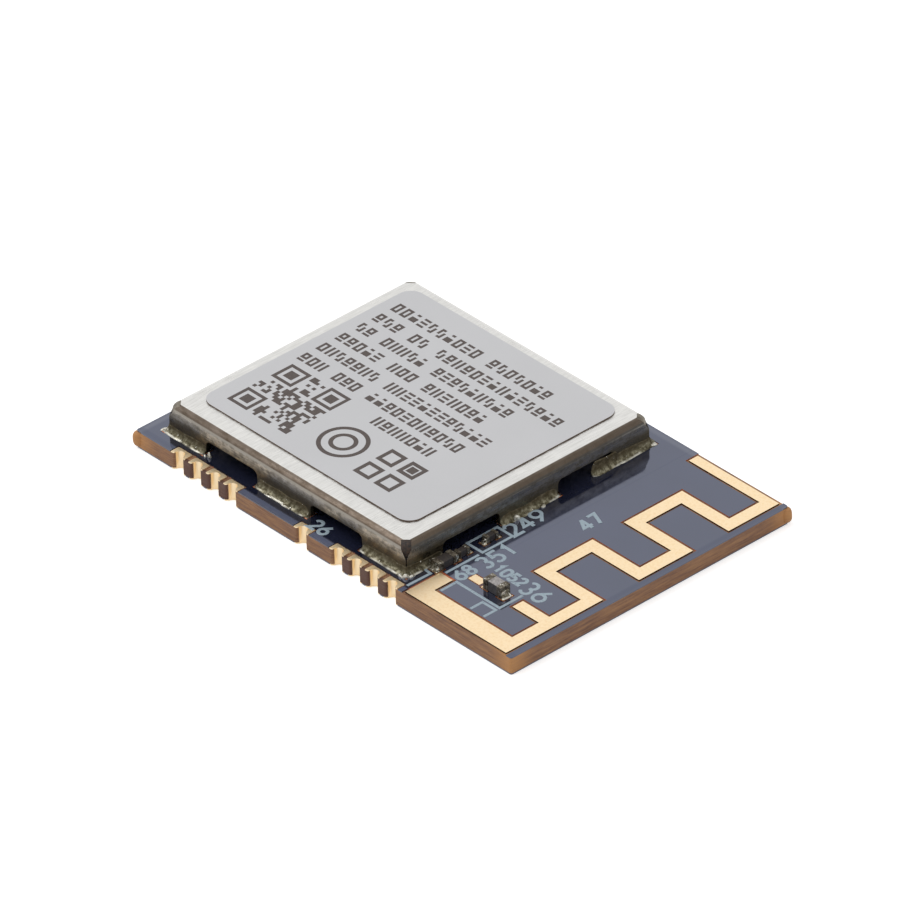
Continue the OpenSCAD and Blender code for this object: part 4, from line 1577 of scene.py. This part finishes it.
@dataclass
class BoardLegend:
    """Pale lines printed on the board round its small parts, with plain numbers."""

    line: float = 0.13
    digit_line: float = 0.1495
    digit_step: float = 0.84
    thickness: float = 0.012
    lift: float = 0.001
    outlines: tuple[Outline, ...] = (
        Outline(((4.0, -3.33), (4.88, -3.33), (4.88, -1.74), (4.0, -1.74)), True),
        Outline(((4.9, -3.55), (4.9, -5.3))),
        Outline(((8.1, -4.2), (8.1, -5.4), (5.6, -5.4))),
        Outline(((7.35, -6.25), (7.35, -5.6), (8.1, -5.6), (8.1, -6.25))),
        Outline(((5.66, -5.5), (5.66, -6.25))),
        Outline(((4.15, -5.7), (4.52, -5.74), (4.5, -6.95))),
    )
    numerals: tuple[Numeral, ...] = (
        Numeral("249", (4.95, -1.66), 90, 0.8), Numeral("47", (6.62, 0.62), 90, 0.68),
        Numeral("36", (7.72, -4.1), 0, 0.82), Numeral("351", (5.82, -3.95), 90, 0.74),
        Numeral("68", (5.7, -5.2), 90, 0.62), Numeral("1052", (6.0, -3.86), 0, 0.5),
        Numeral("26", (-1.2, -7.0), 0, 0.62),
    )

    def digit(self, number: int) -> list[np.ndarray]:
        """Gives the strokes of a plain numeral, in a cell 0.6 wide and 1 high. A stroke that
        would cross itself is split in two.

        Args:
            number: The numeral, 0 to 9.

        Returns:
            Its strokes.
        """
        shapes: dict[int, list[object]] = {
            0: [np.concatenate([arc((0.3, 0.7), 0.3, 0, 180), arc((0.3, 0.3), 0.3, 180, 360),
                                [(0.6, 0.7)]])],
            1: [[(0.1, 0.78), (0.34, 1.0), (0.34, 0.0)]],
            2: [np.concatenate([arc((0.3, 0.72), 0.28, 170, -40), [(0.02, 0.0), (0.6, 0.0)]])],
            3: [arc((0.28, 0.75), 0.25, 150, -90), arc((0.28, 0.26), 0.26, 90, -150)],
            4: [[(0.62, 0.28), (0.0, 0.28), (0.42, 1.0)], [(0.42, 1.0), (0.42, 0.0)]],
            5: [np.concatenate([[(0.56, 1.0), (0.08, 1.0), (0.05, 0.56)],
                                arc((0.27, 0.3), 0.3, 120, -150)])],
            6: [np.concatenate([[(0.5, 0.98)], arc((0.3, 0.3), 0.3, 150, 330)]),
                arc((0.3, 0.3), 0.3, -30, 150)],
            7: [[(0.02, 1.0), (0.58, 1.0), (0.2, 0.0)]],
            8: [arc((0.3, 0.27), 0.27, 90, 270), arc((0.3, 0.27), 0.27, 270, 450),
                arc((0.3, 0.77), 0.23, 90, 270), arc((0.3, 0.77), 0.23, 270, 450)],
            9: [arc((0.3, 0.7), 0.3, 150, 330),
                np.concatenate([arc((0.3, 0.7), 0.3, 150, -30), [(0.1, 0.02)]])],
        }
        return [np.array(stroke, float) for stroke in shapes[number]]

    def write(self, sheets: Sheets, numeral: Numeral) -> None:
        """Writes a number. Each stroke lies a little higher than the one before it, so that no
        two tops lie in one plane.

        Args:
            sheets: Where the strokes go.
            numeral: The number.
        """
        for place, digit in enumerate(numeral.digits):
            for order, stroke in enumerate(self.digit(int(digit))):
                path = (stroke + [place * self.digit_step, 0]) * numeral.tall
                path = path @ turned(numeral.turn).T + numeral.start
                top = COAT_TOP + self.thickness + order * self.lift
                sheets.grid(ribbon(path, self.digit_line, COAT_TOP, top), caps=True)

    def build(self) -> None:
        """Builds every printed line of the board in one piece."""
        sheets = Sheets()
        for outline in self.outlines:
            grid = ribbon(np.array(outline.points), self.line, COAT_TOP,
                          COAT_TOP + self.thickness, outline.closed)
            sheets.grid(grid, round_first=outline.closed, caps=not outline.closed)
        for numeral in self.numerals:
            self.write(sheets, numeral)
        add(sheets.build("board_legend", LEGEND_INK, smooth=False))


# ---- Stage ----


@dataclass
class Studio:
    """A plain pale floor, a soft lamp, a white surround and the camera. Lengths are metres here."""

    lens: float = 499.3
    sensor: float = 36.0
    nearest: float = 0.01
    eye: Point3 = (0.3081882, -0.2760758, 0.2834921)
    tilt: float = 0.9719
    roll: float = -0.0230
    heading: float = 0.8402
    floor_side: float = 6.0
    floor_gap: float = 0.00002
    lamp_at: Point3 = (-0.35, -0.25, 0.8)
    lamp_side: float = 0.7
    lamp_power: float = 3.0
    sky_light: float = 0.7
    sky_seen: float = 1.0

    def camera(self) -> None:
        """Sets the camera: a long lens that looks down on the antenna's corner."""
        data = bpy.data.cameras.new("camera")
        data.lens = self.lens
        data.sensor_width = self.sensor
        data.clip_start = self.nearest
        camera = bpy.data.objects.new("camera", data)
        camera.location = self.eye
        turn = (Euler((0, 0, self.heading)).to_matrix() @ Euler((self.tilt, 0, 0)).to_matrix()
                @ Euler((0, 0, self.roll)).to_matrix())
        camera.rotation_euler = turn.to_euler()
        bpy.context.scene.collection.objects.link(camera)
        bpy.context.scene.camera = camera

    def floor(self) -> None:
        """Lays a pale floor just under the board, with its face upwards."""
        ends = np.array([-0.5, 0.5]) * self.floor_side / MM
        flat = np.stack(np.meshgrid(ends, ends, indexing="ij"), axis=2)
        sheets = Sheets()
        sheets.grid(raised(flat, np.array([-self.floor_gap / MM])))
        floor = sheets.build("floor", FLOOR, smooth=False)
        if floor.data.polygons[0].normal.z < 0:
            floor.data.flip_normals()

    def lamp(self) -> None:
        """Hangs a square lamp that faces the module."""
        data = bpy.data.lights.new("key_lamp", "AREA")
        data.size = self.lamp_side
        data.energy = self.lamp_power
        lamp = bpy.data.objects.new("key_lamp", data)
        lamp.location = self.lamp_at
        lamp.rotation_euler = Vector(self.lamp_at).to_track_quat("Z", "Y").to_euler()
        bpy.context.scene.collection.objects.link(lamp)

    def sky(self) -> None:
        """Sets a white surround that lights the module softly from every side. The camera and
        reflections see it at its full strength."""
        world = bpy.data.worlds.new("soft_surround")
        bpy.context.scene.world = world
        world.use_nodes = True
        tree = world.node_tree
        background = tree.nodes["Background"]
        rays = tree.nodes.new("ShaderNodeLightPath")
        seen = tree.nodes.new("ShaderNodeMath")
        seen.operation = "MAXIMUM"
        tree.links.new(rays.outputs["Is Camera Ray"], seen.inputs[0])
        tree.links.new(rays.outputs["Is Glossy Ray"], seen.inputs[1])
        strength = tree.nodes.new("ShaderNodeMapRange")
        tree.links.new(seen.outputs[0], strength.inputs["Value"])
        strength.inputs["To Min"].default_value = self.sky_light
        strength.inputs["To Max"].default_value = self.sky_seen
        tree.links.new(strength.outputs["Result"], background.inputs["Strength"])
        background.inputs["Color"].default_value = (1, 1, 1, 1)

    def build(self) -> None:
        """Builds the stage."""
        self.camera()
        self.floor()
        self.sky()
        self.lamp()
        bpy.context.scene.view_settings.view_transform = "Standard"
        log.info("stage set")


def main() -> None:
    """Builds the stage and every piece in order."""
    logging.basicConfig(level=logging.INFO, format="%(name)s: %(message)s")
    assemblies: Sequence[Callable[[], Assembly]] = (
        Studio, Circuit, ShieldCan, FootSolder, SolderBeads, CornerSeams, EndSolder, LabelPrint,
        SawnCorners, BoardLegend)
    for assembly in assemblies:
        assembly().build()


if __name__ == "__main__":
    main()
